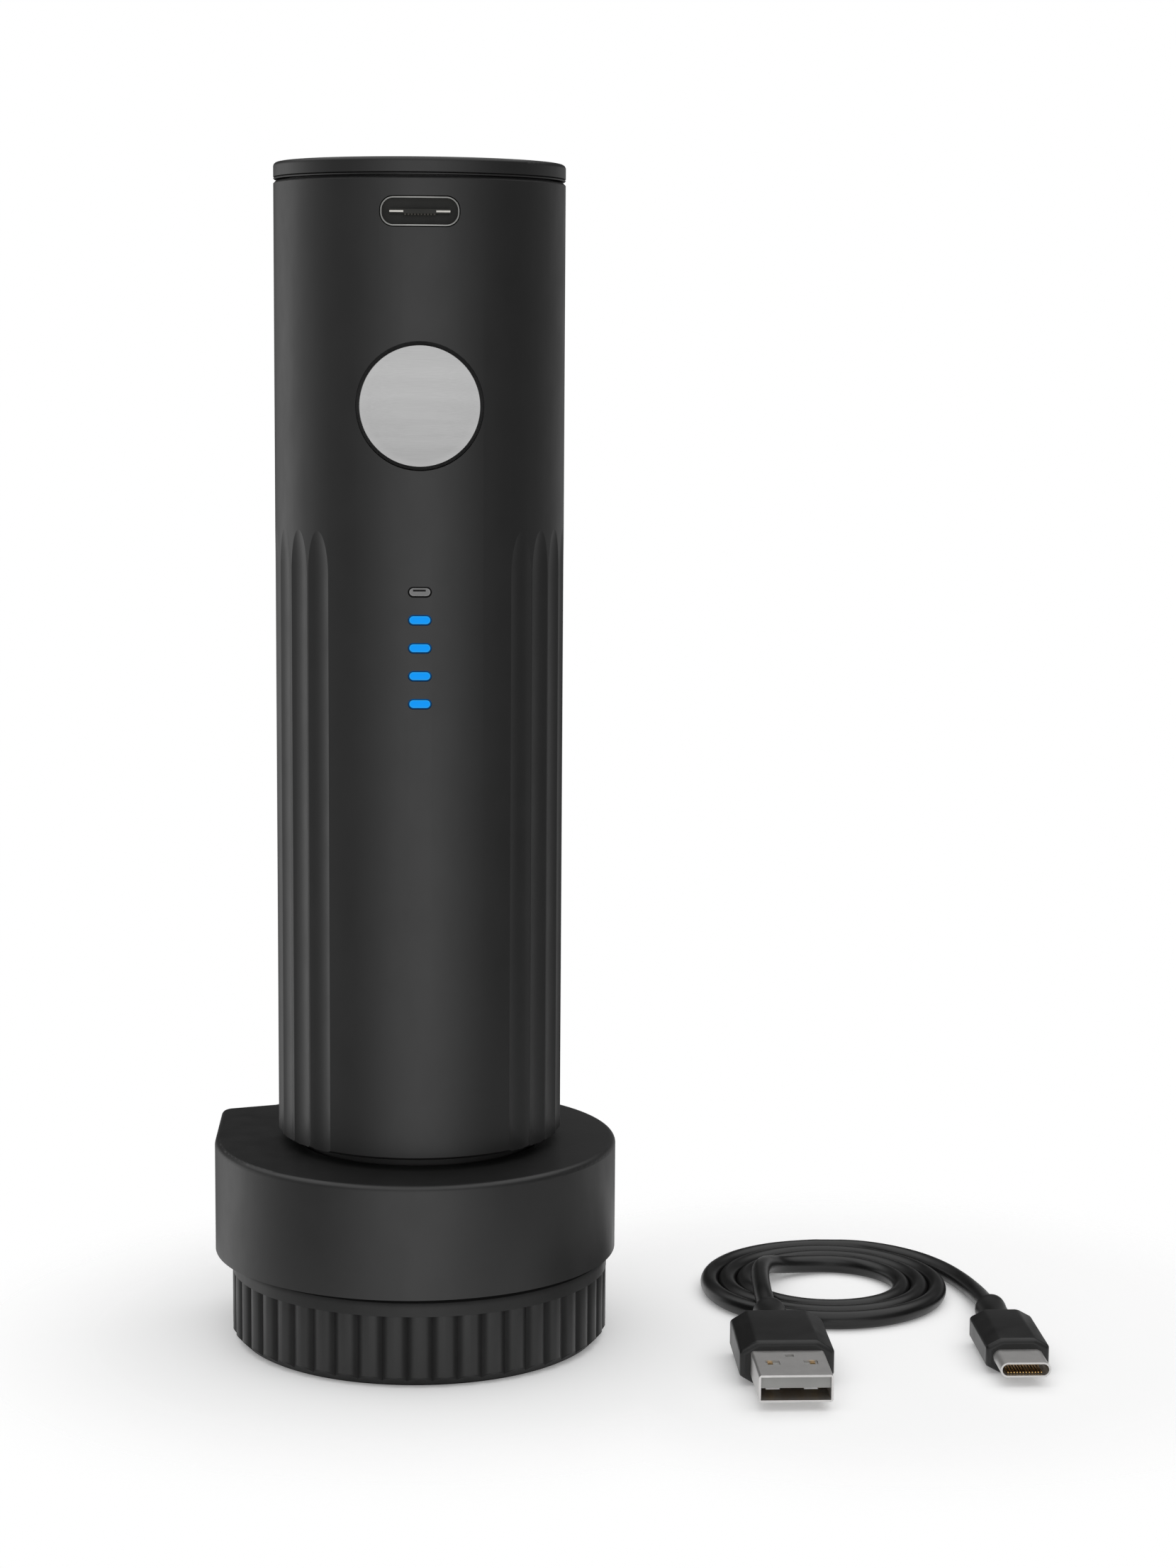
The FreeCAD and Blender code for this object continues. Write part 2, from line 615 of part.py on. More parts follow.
def wheel_carrier():
    """Ring pressed into the knurled ring, with a pocket and a pin hole for each wheel."""
    chamfer = MOUTH_CHAMFER
    carrier = turned([
        (MOUTH_RADIUS + chamfer, CARRIER_LOW),
        (RING_BORE - PRESS_GAP, CARRIER_LOW),
        (RING_BORE - PRESS_GAP, CARRIER_TOP),
        (MOUTH_RADIUS, CARRIER_TOP),
        (MOUTH_RADIUS, CARRIER_LOW + chamfer),
    ])
    pocket_low = WHEEL_Z - POCKET_HEIGHT / 2
    pocket = disc(WHEEL_RADIUS + POCKET_MARGIN, pocket_low, pocket_low + POCKET_HEIGHT, WHEEL_CIRCLE)
    throat_width = 2 * (WHEEL_RADIUS - POCKET_MARGIN)
    throat = block(WHEEL_CIRCLE, throat_width, POCKET_HEIGHT, WHEEL_CIRCLE / 2, 0, WHEEL_Z)
    pin_low = CARRIER_LOW + WHEEL_PIN_MARGIN
    pin = disc(WHEEL_PIN_RADIUS + PRESS_GAP, pin_low, CARRIER_TOP, WHEEL_CIRCLE)
    relief = disc(RELIEF_RADIUS, CARRIER_LOW + RELIEF_FLOOR, CARRIER_TOP, RELIEF_CENTRE)
    cuts = repeated(pocket, wheel_places()) + repeated(throat, wheel_places())
    cuts += repeated(pin, wheel_places()) + repeated(relief, full_circle(WHEELS))
    return carrier.cut(cuts)


def wheel_pins():
    """The wheels' axle pins."""
    pin = disc(WHEEL_PIN_RADIUS, CARRIER_LOW + WHEEL_PIN_MARGIN, CARRIER_TOP, WHEEL_CIRCLE)
    return Part.makeCompound(repeated(pin, wheel_places()))


def cutting_wheel(angle):
    """Thin steel wheel with a ground edge and a hub, at one place round the mouth."""
    half = WHEEL_THICKNESS / 2
    bore = WHEEL_PIN_RADIUS + RUNNING_GAP
    wheel = turned([
        (bore, WHEEL_Z - half),
        (WHEEL_HUB, WHEEL_Z - half),
        (WHEEL_HUB, WHEEL_Z - half / 2),
        (WHEEL_RADIUS, WHEEL_Z - WHEEL_EDGE / 2),
        (WHEEL_RADIUS, WHEEL_Z + WHEEL_EDGE / 2),
        (WHEEL_HUB, WHEEL_Z + half / 2),
        (WHEEL_HUB, WHEEL_Z + half),
        (bore, WHEEL_Z + half),
    ])
    wheel.translate(Vector(WHEEL_CIRCLE, 0, 0))
    return about_z(wheel, angle)


# ================================================================ handle shell and lid
def side_flutes():
    """Cutters of the flutes down both sides of the handle, which run out softly at the top."""
    width = 2 * HANDLE_RADIUS * math.sin(SIDE_FLUTE_PITCH / 2) - SIDE_FLUTE_LAND
    cutter, distance = flute_cutter(HANDLE_RADIUS, width, SIDE_FLUTE_DEPTH)
    nose = FLUTE_NOSE_RADIUS
    inset = nose - cutter
    length = math.sqrt(nose ** 2 - inset ** 2)
    sweep = math.atan2(length, inset) / 2
    low = Vector(0, 0, SHELL_LOW - 1)
    side = Vector(cutter, 0, SHELL_LOW - 1)
    bend = Vector(cutter, 0, SIDE_FLUTE_HIGH)
    middle = Vector(nose * math.cos(sweep) - inset, 0, SIDE_FLUTE_HIGH + nose * math.sin(sweep))
    tip = Vector(0, 0, SIDE_FLUTE_HIGH + length)
    outline = Part.Wire([
        Part.LineSegment(low, side).toShape(),
        Part.LineSegment(side, bend).toShape(),
        Part.Arc(bend, middle, tip).toShape(),
        Part.LineSegment(tip, low).toShape(),
    ])
    shape = Part.Face(outline).revolve(Vector(0, 0, 0), Vector(0, 0, 1), 360)
    shape.translate(Vector(distance, 0, 0))
    first = -(SIDE_FLUTES - 1) / 2
    angles = [(first + i) * SIDE_FLUTE_PITCH for i in range(SIDE_FLUTES)]
    return repeated(shape, angles + [math.pi + a for a in angles])


def lamp_heights():
    """Heights of the lamps, from the charging lamp down."""
    return [LAMP_HIGH - i * LAMP_PITCH for i in range(LAMPS)]


def handle_shell():
    """Outer tube of the handle with its side flutes and the openings in its front."""
    edge = SHELL_EDGE_CHAMFER
    body = turned([
        (SHELL_BORE, SHELL_HIGH),
        (SHELL_BORE, FLANGE_LOW),
        (NOSE_RADIUS + SLIDE_GAP, FLANGE_LOW),
        (NOSE_RADIUS + SLIDE_GAP, SHELL_LOW),
        (HANDLE_RADIUS - edge, SHELL_LOW),
        (HANDLE_RADIUS, SHELL_LOW + edge),
        (HANDLE_RADIUS, SHELL_HIGH - edge),
        (HANDLE_RADIUS - edge, SHELL_HIGH),
    ])
    hole = BUTTON_RADIUS + BUTTON_GAP
    middle = HANDLE_RADIUS - SHELL_WALL / 2
    guide = front_disc(hole + BUTTON_GUIDE_WALL, middle, BUTTON_FLANGE_FRONT + SEAT_GAP, 0, BUTTON_Z)
    body = body.fuse(guide.common(disc(middle, SHELL_LOW, SHELL_HIGH)))
    cuts = side_flutes()
    cuts.append(front_disc(hole, HANDLE_RADIUS + 1, 0, 0, BUTTON_Z))
    port = (PORT_WIDTH + 2 * PORT_GAP, PORT_HEIGHT + 2 * PORT_GAP, PORT_HEIGHT * 0.45 + PORT_GAP)
    cuts.append(soft_slot(*port, HANDLE_RADIUS + 1, 0, 0, PORT_Z))
    for z in lamp_heights():
        cuts.append(front_slot(LAMP_WIDTH, LAMP_HEIGHT, HANDLE_RADIUS + 1, 0, 0, z))
    return body.cut(cuts)


def top_lid():
    """Flat cap with a fine groove above its seam and a skirt inside the shell."""
    skirt_outer = SHELL_BORE - SEAT_GAP
    skirt_inner = skirt_outer - LID_SKIRT_WALL
    skirt_low = SHELL_HIGH - LID_SKIRT_DEPTH
    seam = SHELL_HIGH + LID_SEAM
    ceiling = TOTAL_HEIGHT - LID_THICKNESS
    side = HANDLE_RADIUS
    corners = [
        (0, ceiling),
        (skirt_inner, ceiling),
        (skirt_inner, skirt_low),
        (skirt_outer, skirt_low),
        (skirt_outer, seam),
        (side - LID_GROOVE / 2, seam),
        (side, LID_GROOVE_Z - LID_GROOVE),
        (side - LID_GROOVE, LID_GROOVE_Z - LID_GROOVE / 2),
        (side, LID_GROOVE_Z),
        (side, TOTAL_HEIGHT - LID_EDGE),
    ]
    points = [Vector(r, 0, z) for r, z in corners]
    edges = [Part.LineSegment(a, b).toShape() for a, b in zip(points, points[1:])]
    shoulder = Vector(side - LID_EDGE, 0, TOTAL_HEIGHT)
    crown = Vector(0, 0, TOTAL_HEIGHT)
    slant = LID_EDGE * math.sqrt(0.5)
    middle = Vector(side - LID_EDGE + slant, 0, TOTAL_HEIGHT - LID_EDGE + slant)
    edges.append(Part.Arc(points[-1], middle, shoulder).toShape())
    edges.append(Part.LineSegment(shoulder, crown).toShape())
    edges.append(Part.LineSegment(crown, points[0]).toShape())
    return Part.Face(Part.Wire(edges)).revolve(Vector(0, 0, 0), Vector(0, 0, 1), 360)


# ================================================================ neck sleeve and drive
def lug_places():
    """Plan points of the three long screws of the drive."""
    return [at_angle(LUG_CIRCLE, a) for a in full_circle(LUGS, math.pi / 2)]


def neck_sleeve():
    """Sleeve that slides over a bottle's neck and takes the cork; its nose stands in the base."""
    body = turned([
        (NOSE_BORE, SLEEVE_ROOF_LOW),
        (NOSE_BORE, NOSE_LOW + NOSE_CHAMFER),
        (NOSE_BORE + NOSE_CHAMFER, NOSE_LOW),
        (NOSE_RADIUS - NOSE_CHAMFER, NOSE_LOW),
        (NOSE_RADIUS, NOSE_LOW + NOSE_CHAMFER),
        (NOSE_RADIUS, SEAL_Z - SEAL_SECTION),
        (NOSE_RADIUS - SEAL_GROOVE, SEAL_Z - SEAL_SECTION),
        (NOSE_RADIUS - SEAL_GROOVE, SEAL_Z + SEAL_SECTION),
        (NOSE_RADIUS, SEAL_Z + SEAL_SECTION),
        (NOSE_RADIUS, FLANGE_LOW + SEAT_GAP),
        (SHELL_BORE - SEAT_GAP, FLANGE_LOW + SEAT_GAP),
        (SHELL_BORE - SEAT_GAP, FLANGE_LOW + SLEEVE_FLANGE),
        (SLEEVE_RADIUS, FLANGE_LOW + SLEEVE_FLANGE),
        (SLEEVE_RADIUS, SLEEVE_TOP),
        (BUSH_RADIUS + PRESS_GAP, SLEEVE_TOP),
        (BUSH_RADIUS + PRESS_GAP, SLEEVE_ROOF_LOW),
    ])
    bosses = [disc(LUG_RADIUS, SLEEVE_TOP - LUG_BOSS, SLEEVE_TOP, x, y) for x, y in lug_places()]
    body = body.fuse(bosses).cut(disc(NOSE_BORE, NOSE_LOW, SLEEVE_ROOF_LOW))
    mouth = Part.makeCone(NOSE_BORE + NOSE_CHAMFER, NOSE_BORE, NOSE_CHAMFER, Vector(0, 0, NOSE_LOW))
    holes = [disc(SCREW_RADIUS + PRESS_GAP, drive_screw_low(), SLEEVE_TOP, x, y) for x, y in lug_places()]
    return body.cut(holes + [mouth])


def nose_seal():
    """Soft ring in the nose's groove that steadies the handle in its socket."""
    inner = NOSE_RADIUS - SEAL_GROOVE + PRESS_GAP
    outer = SOCKET_RADIUS - RUNNING_GAP
    half = SEAL_SECTION - PRESS_GAP
    crown = half * 0.45
    return turned([
        (inner, SEAL_Z - half),
        (outer - half + crown, SEAL_Z - half),
        (outer, SEAL_Z - crown),
        (outer, SEAL_Z + crown),
        (outer - half + crown, SEAL_Z + half),
        (inner, SEAL_Z + half),
    ])


def involute(radius, base):
    """Polar angle that an involute has turned through at a radius."""
    if radius <= base:
        return 0.0
    roll = math.sqrt((radius / base) ** 2 - 1)
    return roll - math.atan(roll)


def gear_face(teeth, thickness, root, tip, first=0.0):
    """Outline of a gear with involute flanks; a tooth stands at the first angle."""
    pitch = GEAR_MODULE * teeth / 2
    base = pitch * math.cos(PRESSURE_ANGLE)
    half = thickness / (2 * pitch) + involute(pitch, base)
    radii = [root, (root + pitch) / 2, pitch, (pitch + tip) / 2, tip]
    points = []
    for angle in full_circle(teeth, first):
        rising = [at_angle(r, angle - half + involute(r, base)) for r in radii]
        falling = [at_angle(r, angle + half - involute(r, base)) for r in reversed(radii)]
        points += [Vector(x, y, 0) for x, y in rising + falling]
    return Part.Face(Part.makePolygon(points + points[:1]))


def gear(teeth, bore, low, high, x=0.0, y=0.0, first=0.0):
    """Spur gear between two heights."""
    pitch = GEAR_MODULE * teeth / 2
    thickness = math.pi * GEAR_MODULE / 2 - BACKLASH
    face = gear_face(teeth, thickness, pitch - DEDENDUM * GEAR_MODULE, pitch + ADDENDUM * GEAR_MODULE, first)
    body = face.extrude(Vector(0, 0, high - low)).cut(disc(bore, 0, high - low))
    body.translate(Vector(x, y, low))
    return body


def drive_screw_low():
    """Height of the drive screws' ends."""
    return SLEEVE_TOP - LUG_BOSS + 1.5


def gear_case():
    """Gearbox case with the toothed ring cut inside it and three lugs for the long screws."""
    pitch = GEAR_MODULE * RING_TEETH / 2
    root = pitch + DEDENDUM * GEAR_MODULE
    outer = root + CASE_WALL
    lugs = [disc(LUG_RADIUS, SLEEVE_TOP, CASE_HIGH, x, y) for x, y in lug_places()]
    arm = block(LUG_CIRCLE, 2 * LUG_RADIUS, CASE_HEIGHT, LUG_CIRCLE / 2, 0, (SLEEVE_TOP + CASE_HIGH) / 2)
    arms = repeated(arm, full_circle(LUGS, math.pi / 2))
    body = disc(outer, SLEEVE_TOP, CASE_HIGH).fuse(lugs + arms).removeSplitter()
    thickness = math.pi * GEAR_MODULE / 2 + BACKLASH
    teeth = gear_face(RING_TEETH, thickness, pitch - ADDENDUM * GEAR_MODULE, root, math.pi / RING_TEETH)
    cavity = teeth.extrude(Vector(0, 0, CASE_HEIGHT - CASE_FLOOR))
    cavity.translate(Vector(0, 0, SLEEVE_TOP + CASE_FLOOR))
    bush_hole = disc(BUSH_RADIUS + PRESS_GAP, SLEEVE_TOP, SLEEVE_TOP + CASE_FLOOR)
    holes = [disc(SCREW_RADIUS + PRESS_GAP, SLEEVE_TOP, CASE_HIGH, x, y) for x, y in lug_places()]
    return body.cut(holes + [cavity, bush_hole])


def output_bush():
    """Flanged bearing bush of the output shaft, through the case's floor and the sleeve's roof."""
    bore = SHAFT_RADIUS + RUNNING_GAP
    top = SLEEVE_TOP + CASE_FLOOR + BUSH_FLANGE
    body = tube(BUSH_RADIUS, bore, SLEEVE_ROOF_LOW, top)
    return body.fuse(tube(BUSH_FLANGE_RADIUS, bore, top - BUSH_FLANGE, top)).removeSplitter()


def planet_places():
    """Plan points of the planets' axles, with their angles."""
    return [(*at_angle(PLANET_ORBIT, a), a) for a in full_circle(PLANETS)]


def planet_gear(place):
    """Planet gear at one of its places, in mesh with the sun and the toothed ring."""
    x, y, angle = place
    return gear(PLANET_TEETH, PLANET_PIN_RADIUS + RUNNING_GAP, PLANET_LOW, PLANET_HIGH,
                x, y, angle + math.pi / PLANET_TEETH)


def planet_pins():
    """The planets' axle pins, pressed into the output shaft's disc."""
    top = PLANET_HIGH + PLANET_PIN_PROUD
    pins = [disc(PLANET_PIN_RADIUS, CARRIER_DISC_Z, top, x, y) for x, y, _ in planet_places()]
    return Part.makeCompound(pins)


def output_shaft():
    """Output shaft with the disc that carries the planets."""
    disc_top = CARRIER_DISC_Z + CARRIER_DISC
    body = disc(CARRIER_DISC_RADIUS, CARRIER_DISC_Z, disc_top)
    body = body.fuse(disc(SHAFT_RADIUS, SHAFT_LOW, CARRIER_DISC_Z))
    pin_hole = PLANET_PIN_RADIUS + PRESS_GAP
    holes = [disc(pin_hole, CARRIER_DISC_Z, disc_top, x, y) for x, y, _ in planet_places()]
    holes.append(holder_pin_rod(HOLDER_PIN_RADIUS + PRESS_GAP, 2 * HOLDER_RADIUS))
    return body.cut(holes)


def sun_gear():
    """Pinion pressed on the motor's shaft."""
    return gear(SUN_TEETH, MOTOR_SHAFT_RADIUS + PRESS_GAP, PLANET_LOW, PLANET_HIGH + 1)


def motor_shaft():
    """Motor's shaft, from the pinion through the can."""
    return disc(MOTOR_SHAFT_RADIUS, PLANET_LOW, MOTOR_HIGH + MOTOR_REAR_BOSS / 2)


def motor_screw_places():
    """Plan points of the two screws that hold the motor."""
    return [at_angle(MOTOR_SCREW_CIRCLE, a) for a in full_circle(2, math.pi / 2)]


def gear_cover():
    """Plate that closes the gearbox and carries the motor."""
    body = disc(COVER_RADIUS, CASE_HIGH, COVER_HIGH)
    cuts = [screw_room(CASE_HIGH, COVER_HIGH, x, y) for x, y in lug_places()]
    cuts.append(disc(MOTOR_BOSS_RADIUS + PRESS_GAP, CASE_HIGH, COVER_HIGH))
    for x, y in motor_screw_places():
        low = CASE_HIGH - MOTOR_SCREW_DEPTH
        cuts.append(upside_down(screw_room(low, CASE_HIGH, x, -y), CASE_HIGH))
    return body.cut(cuts)


def drive_screws():
    """Three long screws through cover and case into the sleeve."""
    return Part.makeCompound([screw(drive_screw_low(), COVER_HIGH, x, y) for x, y in lug_places()])


def motor_screws():
    """Two short screws through the cover into the motor's face."""
    low = CASE_HIGH - MOTOR_SCREW_DEPTH
    return Part.makeCompound(
        [upside_down(screw(low, CASE_HIGH, x, -y), CASE_HIGH) for x, y in motor_screw_places()])


def motor_can():
    """Motor's can with two flats, its end bosses and a bore for the shaft."""
    can = disc(MOTOR_RADIUS, COVER_HIGH, MOTOR_HIGH)
    flats = block(2 * MOTOR_FLAT, 2 * MOTOR_RADIUS, MOTOR_LENGTH, 0, 0, (COVER_HIGH + MOTOR_HIGH) / 2)
    can = can.common(flats)
    can = can.fuse([
        disc(MOTOR_BOSS_RADIUS, COVER_HIGH - MOTOR_BOSS, COVER_HIGH),
        disc(MOTOR_BOSS_RADIUS, MOTOR_HIGH, MOTOR_HIGH + MOTOR_REAR_BOSS),
    ])
    bore_high = MOTOR_HIGH + MOTOR_REAR_BOSS * 0.75
    bore = disc(MOTOR_SHAFT_RADIUS + RUNNING_GAP, COVER_HIGH - MOTOR_BOSS, bore_high)
    holes = [disc(SCREW_RADIUS + PRESS_GAP, COVER_HIGH, CASE_HIGH + MOTOR_SCREW_DEPTH, x, y)
             for x, y in motor_screw_places()]
    return can.cut(holes + [bore])


def motor_terminals():
    """The motor's two solder tags."""
    z = MOTOR_HIGH + TERMINAL_LENGTH / 2
    sides = (-TERMINAL_X, TERMINAL_X)
    tags = [block(TERMINAL_THICKNESS, TERMINAL_WIDTH, TERMINAL_LENGTH, x, 0, z) for x in sides]
    return Part.makeCompound(tags)


# ================================================================ worm
def helix_wire(pitch, turns, radius, low, start):
    """Right-handed helix edge about Z that starts at a height and an angle."""
    wire = Part.makeHelix(pitch, pitch * turns, radius)
    wire.rotate(Vector(0, 0, 0), Vector(0, 0, 1), math.degrees(start))
    wire.translate(Vector(0, 0, low))
    return wire


def wire_section(radius, angle, low, size):
    """Many-sided section across a helix at an angle and a height."""
    x, y = at_angle(radius, angle)
    centre = Vector(x, y, low)
    outward = Vector(x, y, 0)
    outward.normalize()
    tangent = Vector(-y, x, WORM_PITCH / (2 * math.pi))
    tangent.normalize()
    across = tangent.cross(outward)
    corners = []
    for turn in full_circle(WORM_SIDES):
        u, v = at_angle(size, turn)
        corners.append(centre + outward * u + across * v)
    return Part.makePolygon(corners + corners[:1])


def worm():
    """Open helical worm: a tapered point, the helix and a shank on the axis."""
    point_turn = 2 * math.pi * WORM_POINT_TURNS
    helix_low = WORM_LOW + WORM_PITCH * WORM_POINT_TURNS
    helix_high = HOLDER_LOW - WORM_WIRE - WORM_COIL_RADIUS
    turns = (helix_high - helix_low) / WORM_PITCH
    point_path = helix_wire(WORM_PITCH, WORM_POINT_TURNS, WORM_COIL_RADIUS, WORM_LOW, 0.0)
    tip = wire_section(WORM_COIL_RADIUS, 0.0, WORM_LOW, WORM_POINT_RADIUS)
    full = wire_section(WORM_COIL_RADIUS, point_turn, helix_low, WORM_WIRE)
    point = Part.Wire(point_path).makePipeShell([tip, full], True, True)
    path = helix_wire(WORM_PITCH, turns, WORM_COIL_RADIUS, helix_low, point_turn)
    helix = Part.Wire(path).makePipeShell([full], True, True)
    end_angle = point_turn + 2 * math.pi * turns
    x, y = at_angle(WORM_COIL_RADIUS, end_angle)
    elbow = Vector(x, y, helix_high)
    knee = Vector(0, 0, helix_high + WORM_COIL_RADIUS)
    neck = Part.makeCylinder(WORM_WIRE, (knee - elbow).Length, elbow, knee - elbow)
    shank = disc(WORM_SHANK_RADIUS, knee.z - WORM_WIRE, HOLDER_LOW + WORM_SHANK_DEPTH)
    return point.fuse([helix, Part.makeSphere(WORM_WIRE, elbow), neck, shank])


def worm_holder():
    """Moulded hub that joins the worm to the output shaft."""
    top = SLEEVE_ROOF_LOW - WASHER_THICKNESS
    body = disc(HOLDER_RADIUS, HOLDER_LOW, top)
    flare = Part.makeCone(HOLDER_RADIUS, HOLDER_RADIUS + 2, 2, Vector(0, 0, top - 2))
    body = body.fuse(flare).removeSplitter()
    shank_hole = disc(WORM_SHANK_RADIUS + PRESS_GAP, HOLDER_LOW, HOLDER_LOW + WORM_SHANK_DEPTH)
    shaft_hole = disc(SHAFT_RADIUS + PRESS_GAP, SHAFT_LOW, top)
    pin_hole = holder_pin_rod(HOLDER_PIN_RADIUS + PRESS_GAP, 3 * HOLDER_RADIUS)
    return body.cut([shank_hole, shaft_hole, pin_hole])


def holder_pin_rod(radius, length):
    """Rod across the shaft at the holder's pin."""
    return Part.makeCylinder(radius, length, Vector(-length / 2, 0, HOLDER_PIN_Z), Vector(1, 0, 0))


def holder_pin():
    """Cross pin that keys the worm's holder to the output shaft."""
    return holder_pin_rod(HOLDER_PIN_RADIUS, 2 * HOLDER_RADIUS - 0.4)


def thrust_washer():
    """Washer between the worm's holder and the sleeve's roof, which takes the worm's pull."""
    low = SLEEVE_ROOF_LOW - WASHER_THICKNESS + SEAT_GAP
    high = SLEEVE_ROOF_LOW - SEAT_GAP
    return tube(HOLDER_RADIUS + WASHER_MARGIN, SHAFT_RADIUS + 2 * RUNNING_GAP, low, high)


# ================================================================ board, battery and chassis
def board_screw_places():
    """Places of the board's four screws, across and up."""
    return [(side * CHASSIS_BOSS_X, z) for side in (-1, 1) for z in (BOARD_SCREW_LOW, BOARD_SCREW_HIGH)]


def chassis():
    """C-shaped inner frame: it stands on the gear cover, cradles the cell and carries the board."""
    low = COVER_HIGH
    body = tube(CHASSIS_OUTER, CHASSIS_INNER, low, CHASSIS_HIGH)
    thick = CELL_WALL
    cell_high = CELL_LOW + CELL_LENGTH + CELL_BUTTON
    for z in (CELL_LOW - CONTACT_THICKNESS - thick, cell_high + CONTACT_THICKNESS):
        body = body.fuse(disc(CHASSIS_INNER + PRESS_GAP, z, z + thick))
    for x, z in board_screw_places():
        body = body.fuse(front_disc(CHASSIS_BOSS_RADIUS, BOARD_BACK, BOARD_BACK - CHASSIS_BOSS_DEPTH, x, z))
        side = 1 if x > 0 else -1
        reach = math.sqrt(CHASSIS_INNER ** 2 - (BOARD_BACK - CHASSIS_BOSS_DEPTH) ** 2)
        web = block(reach - abs(x), CHASSIS_BOSS_DEPTH, CHASSIS_WEB, side * (abs(x) + reach) / 2,
                    -(BOARD_BACK - CHASSIS_BOSS_DEPTH / 2), z)
        body = body.fuse(web.common(disc(CHASSIS_OUTER, low, CHASSIS_HIGH)))
    length = CHASSIS_HIGH - low
    cut_y = -BOARD_BACK - CHASSIS_OUTER / 2
    front = block(4 * CHASSIS_OUTER, CHASSIS_OUTER, length, 0, cut_y, low + length / 2)
    hole = BOARD_SCREW_RADIUS + PRESS_GAP
    hole_end = BOARD_BACK - BOARD_SCREW_DEPTH - SLIDE_GAP
    holes = [front_disc(hole, BOARD_BACK, hole_end, x, z) for x, z in board_screw_places()]
    head_room = [disc(SCREW_HEAD_RADIUS + SLIDE_GAP, low, low + 0.4, x, y) for x, y in lug_places()]
    return body.cut([front] + holes + head_room).removeSplitter()


def battery_cell():
    """Rechargeable cell with its raised button."""
    high = CELL_LOW + CELL_LENGTH
    body = disc(CELL_RADIUS, CELL_LOW, high, 0, CELL_Y)
    body = body.makeChamfer(CELL_EDGE, [e for e in body.Edges if e.Curve.TypeId == "Part::GeomCircle"])
    return body.fuse(disc(CELL_BUTTON_RADIUS, high, high + CELL_BUTTON, 0, CELL_Y))


def battery_contacts():
    """Spring plates at both ends of the cell."""
    high = CELL_LOW + CELL_LENGTH + CELL_BUTTON
    width = 2 * CONTACT_HALF_WIDTH
    return Part.makeCompound([
        block(width, width, CONTACT_THICKNESS, 0, CELL_Y, CELL_LOW - CONTACT_THICKNESS / 2),
        block(width, width, CONTACT_THICKNESS, 0, CELL_Y, high + CONTACT_THICKNESS / 2),
    ])


def circuit_board():
    """Main board behind the front of the handle."""
    height = BOARD_HIGH - BOARD_LOW
    body = block(2 * BOARD_HALF_WIDTH, BOARD_THICKNESS, height, 0, -(BOARD_FRONT + BOARD_BACK) / 2,
                 (BOARD_HIGH + BOARD_LOW) / 2)
    hole = BOARD_SCREW_RADIUS + PRESS_GAP
    return body.cut([front_disc(hole, BOARD_FRONT, BOARD_BACK, x, z) for x, z in board_screw_places()])


def board_screws():
    """Four small pan-head screws of the board."""
    screws = []
    for x, z in board_screw_places():
        head = front_disc(BOARD_SCREW_HEAD_RADIUS, BOARD_FRONT + BOARD_SCREW_HEAD, BOARD_FRONT, x, z)
        head = head.cut(block(1.5 * BOARD_SCREW_HEAD_RADIUS, 0.8, 0.4, x, -BOARD_FRONT - BOARD_SCREW_HEAD, z))
        thread = front_disc(BOARD_SCREW_RADIUS, BOARD_FRONT, BOARD_BACK - BOARD_SCREW_DEPTH, x, z)
        screws.append(head.fuse(thread))
    return Part.makeCompound(screws)


# ================================================================ button, port and lamps
def switch_housing():
    """Push switch on the board, hollow for its plunger."""
    front = BOARD_FRONT + SWITCH_HEIGHT
    body = block(SWITCH_WIDTH, SWITCH_HEIGHT, SWITCH_WIDTH, 0, -(front + BOARD_FRONT) / 2, BUTTON_Z)
    return body.cut(front_disc(SWITCH_PLUNGER + RUNNING_GAP, front, front - SWITCH_HOLE_DEPTH, 0, BUTTON_Z))


def button_stem_back():
    """Distance of the back of the button's stem from the axis."""
    return BOARD_FRONT + SWITCH_HEIGHT + BUTTON_TRAVEL + 0.2


def button_body():
    """Moulded body of the button: a ring-shaped flange, ribs and the stem on the switch."""
    top = BUTTON_FACE - BUTTON_CAP
    back = BUTTON_FLANGE_FRONT - BUTTON_FLANGE
    web = 1.0
    guide = front_disc(BUTTON_RADIUS - 0.3, top, back, 0, BUTTON_Z)
    flange = front_disc(BUTTON_FLANGE_RADIUS, BUTTON_FLANGE_FRONT, back, 0, BUTTON_Z)
    hollow = front_disc(BUTTON_RADIUS - 2, top - web, back, 0, BUTTON_Z)
    stem = front_disc(BUTTON_STEM_RADIUS, top, button_stem_back(), 0, BUTTON_Z)
    depth = top - button_stem_back()
    middle = -(top + button_stem_back()) / 2
    ribs = [block(2 * BUTTON_RADIUS - 2, depth, web, 0, middle, BUTTON_Z),
            block(web, depth, 2 * BUTTON_RADIUS - 2, 0, middle, BUTTON_Z)]
    return guide.fuse(flange).cut(hollow).fuse([stem] + ribs).removeSplitter()


def button_cap():
    """Brushed metal disc on the button's body, with a fine chamfer."""
    body = front_disc(BUTTON_RADIUS, BUTTON_FACE, BUTTON_FACE - BUTTON_CAP, 0, BUTTON_Z)
    front_edges = [e for e in body.Edges if e.BoundBox.YMax < -BUTTON_FACE + 1e-6]
    return body.makeChamfer(BUTTON_EDGE, front_edges)


def switch_plunger():
    """Plunger of the push switch, which moves with the button."""
    return front_disc(SWITCH_PLUNGER, button_stem_back(), BOARD_FRONT + SWITCH_HEIGHT - 0.6, 0, BUTTON_Z)


def shell_skin(sink):
    """Solid round of the handle, a little below its surface."""
    return disc(HANDLE_RADIUS - sink, SHELL_LOW, SHELL_HIGH)


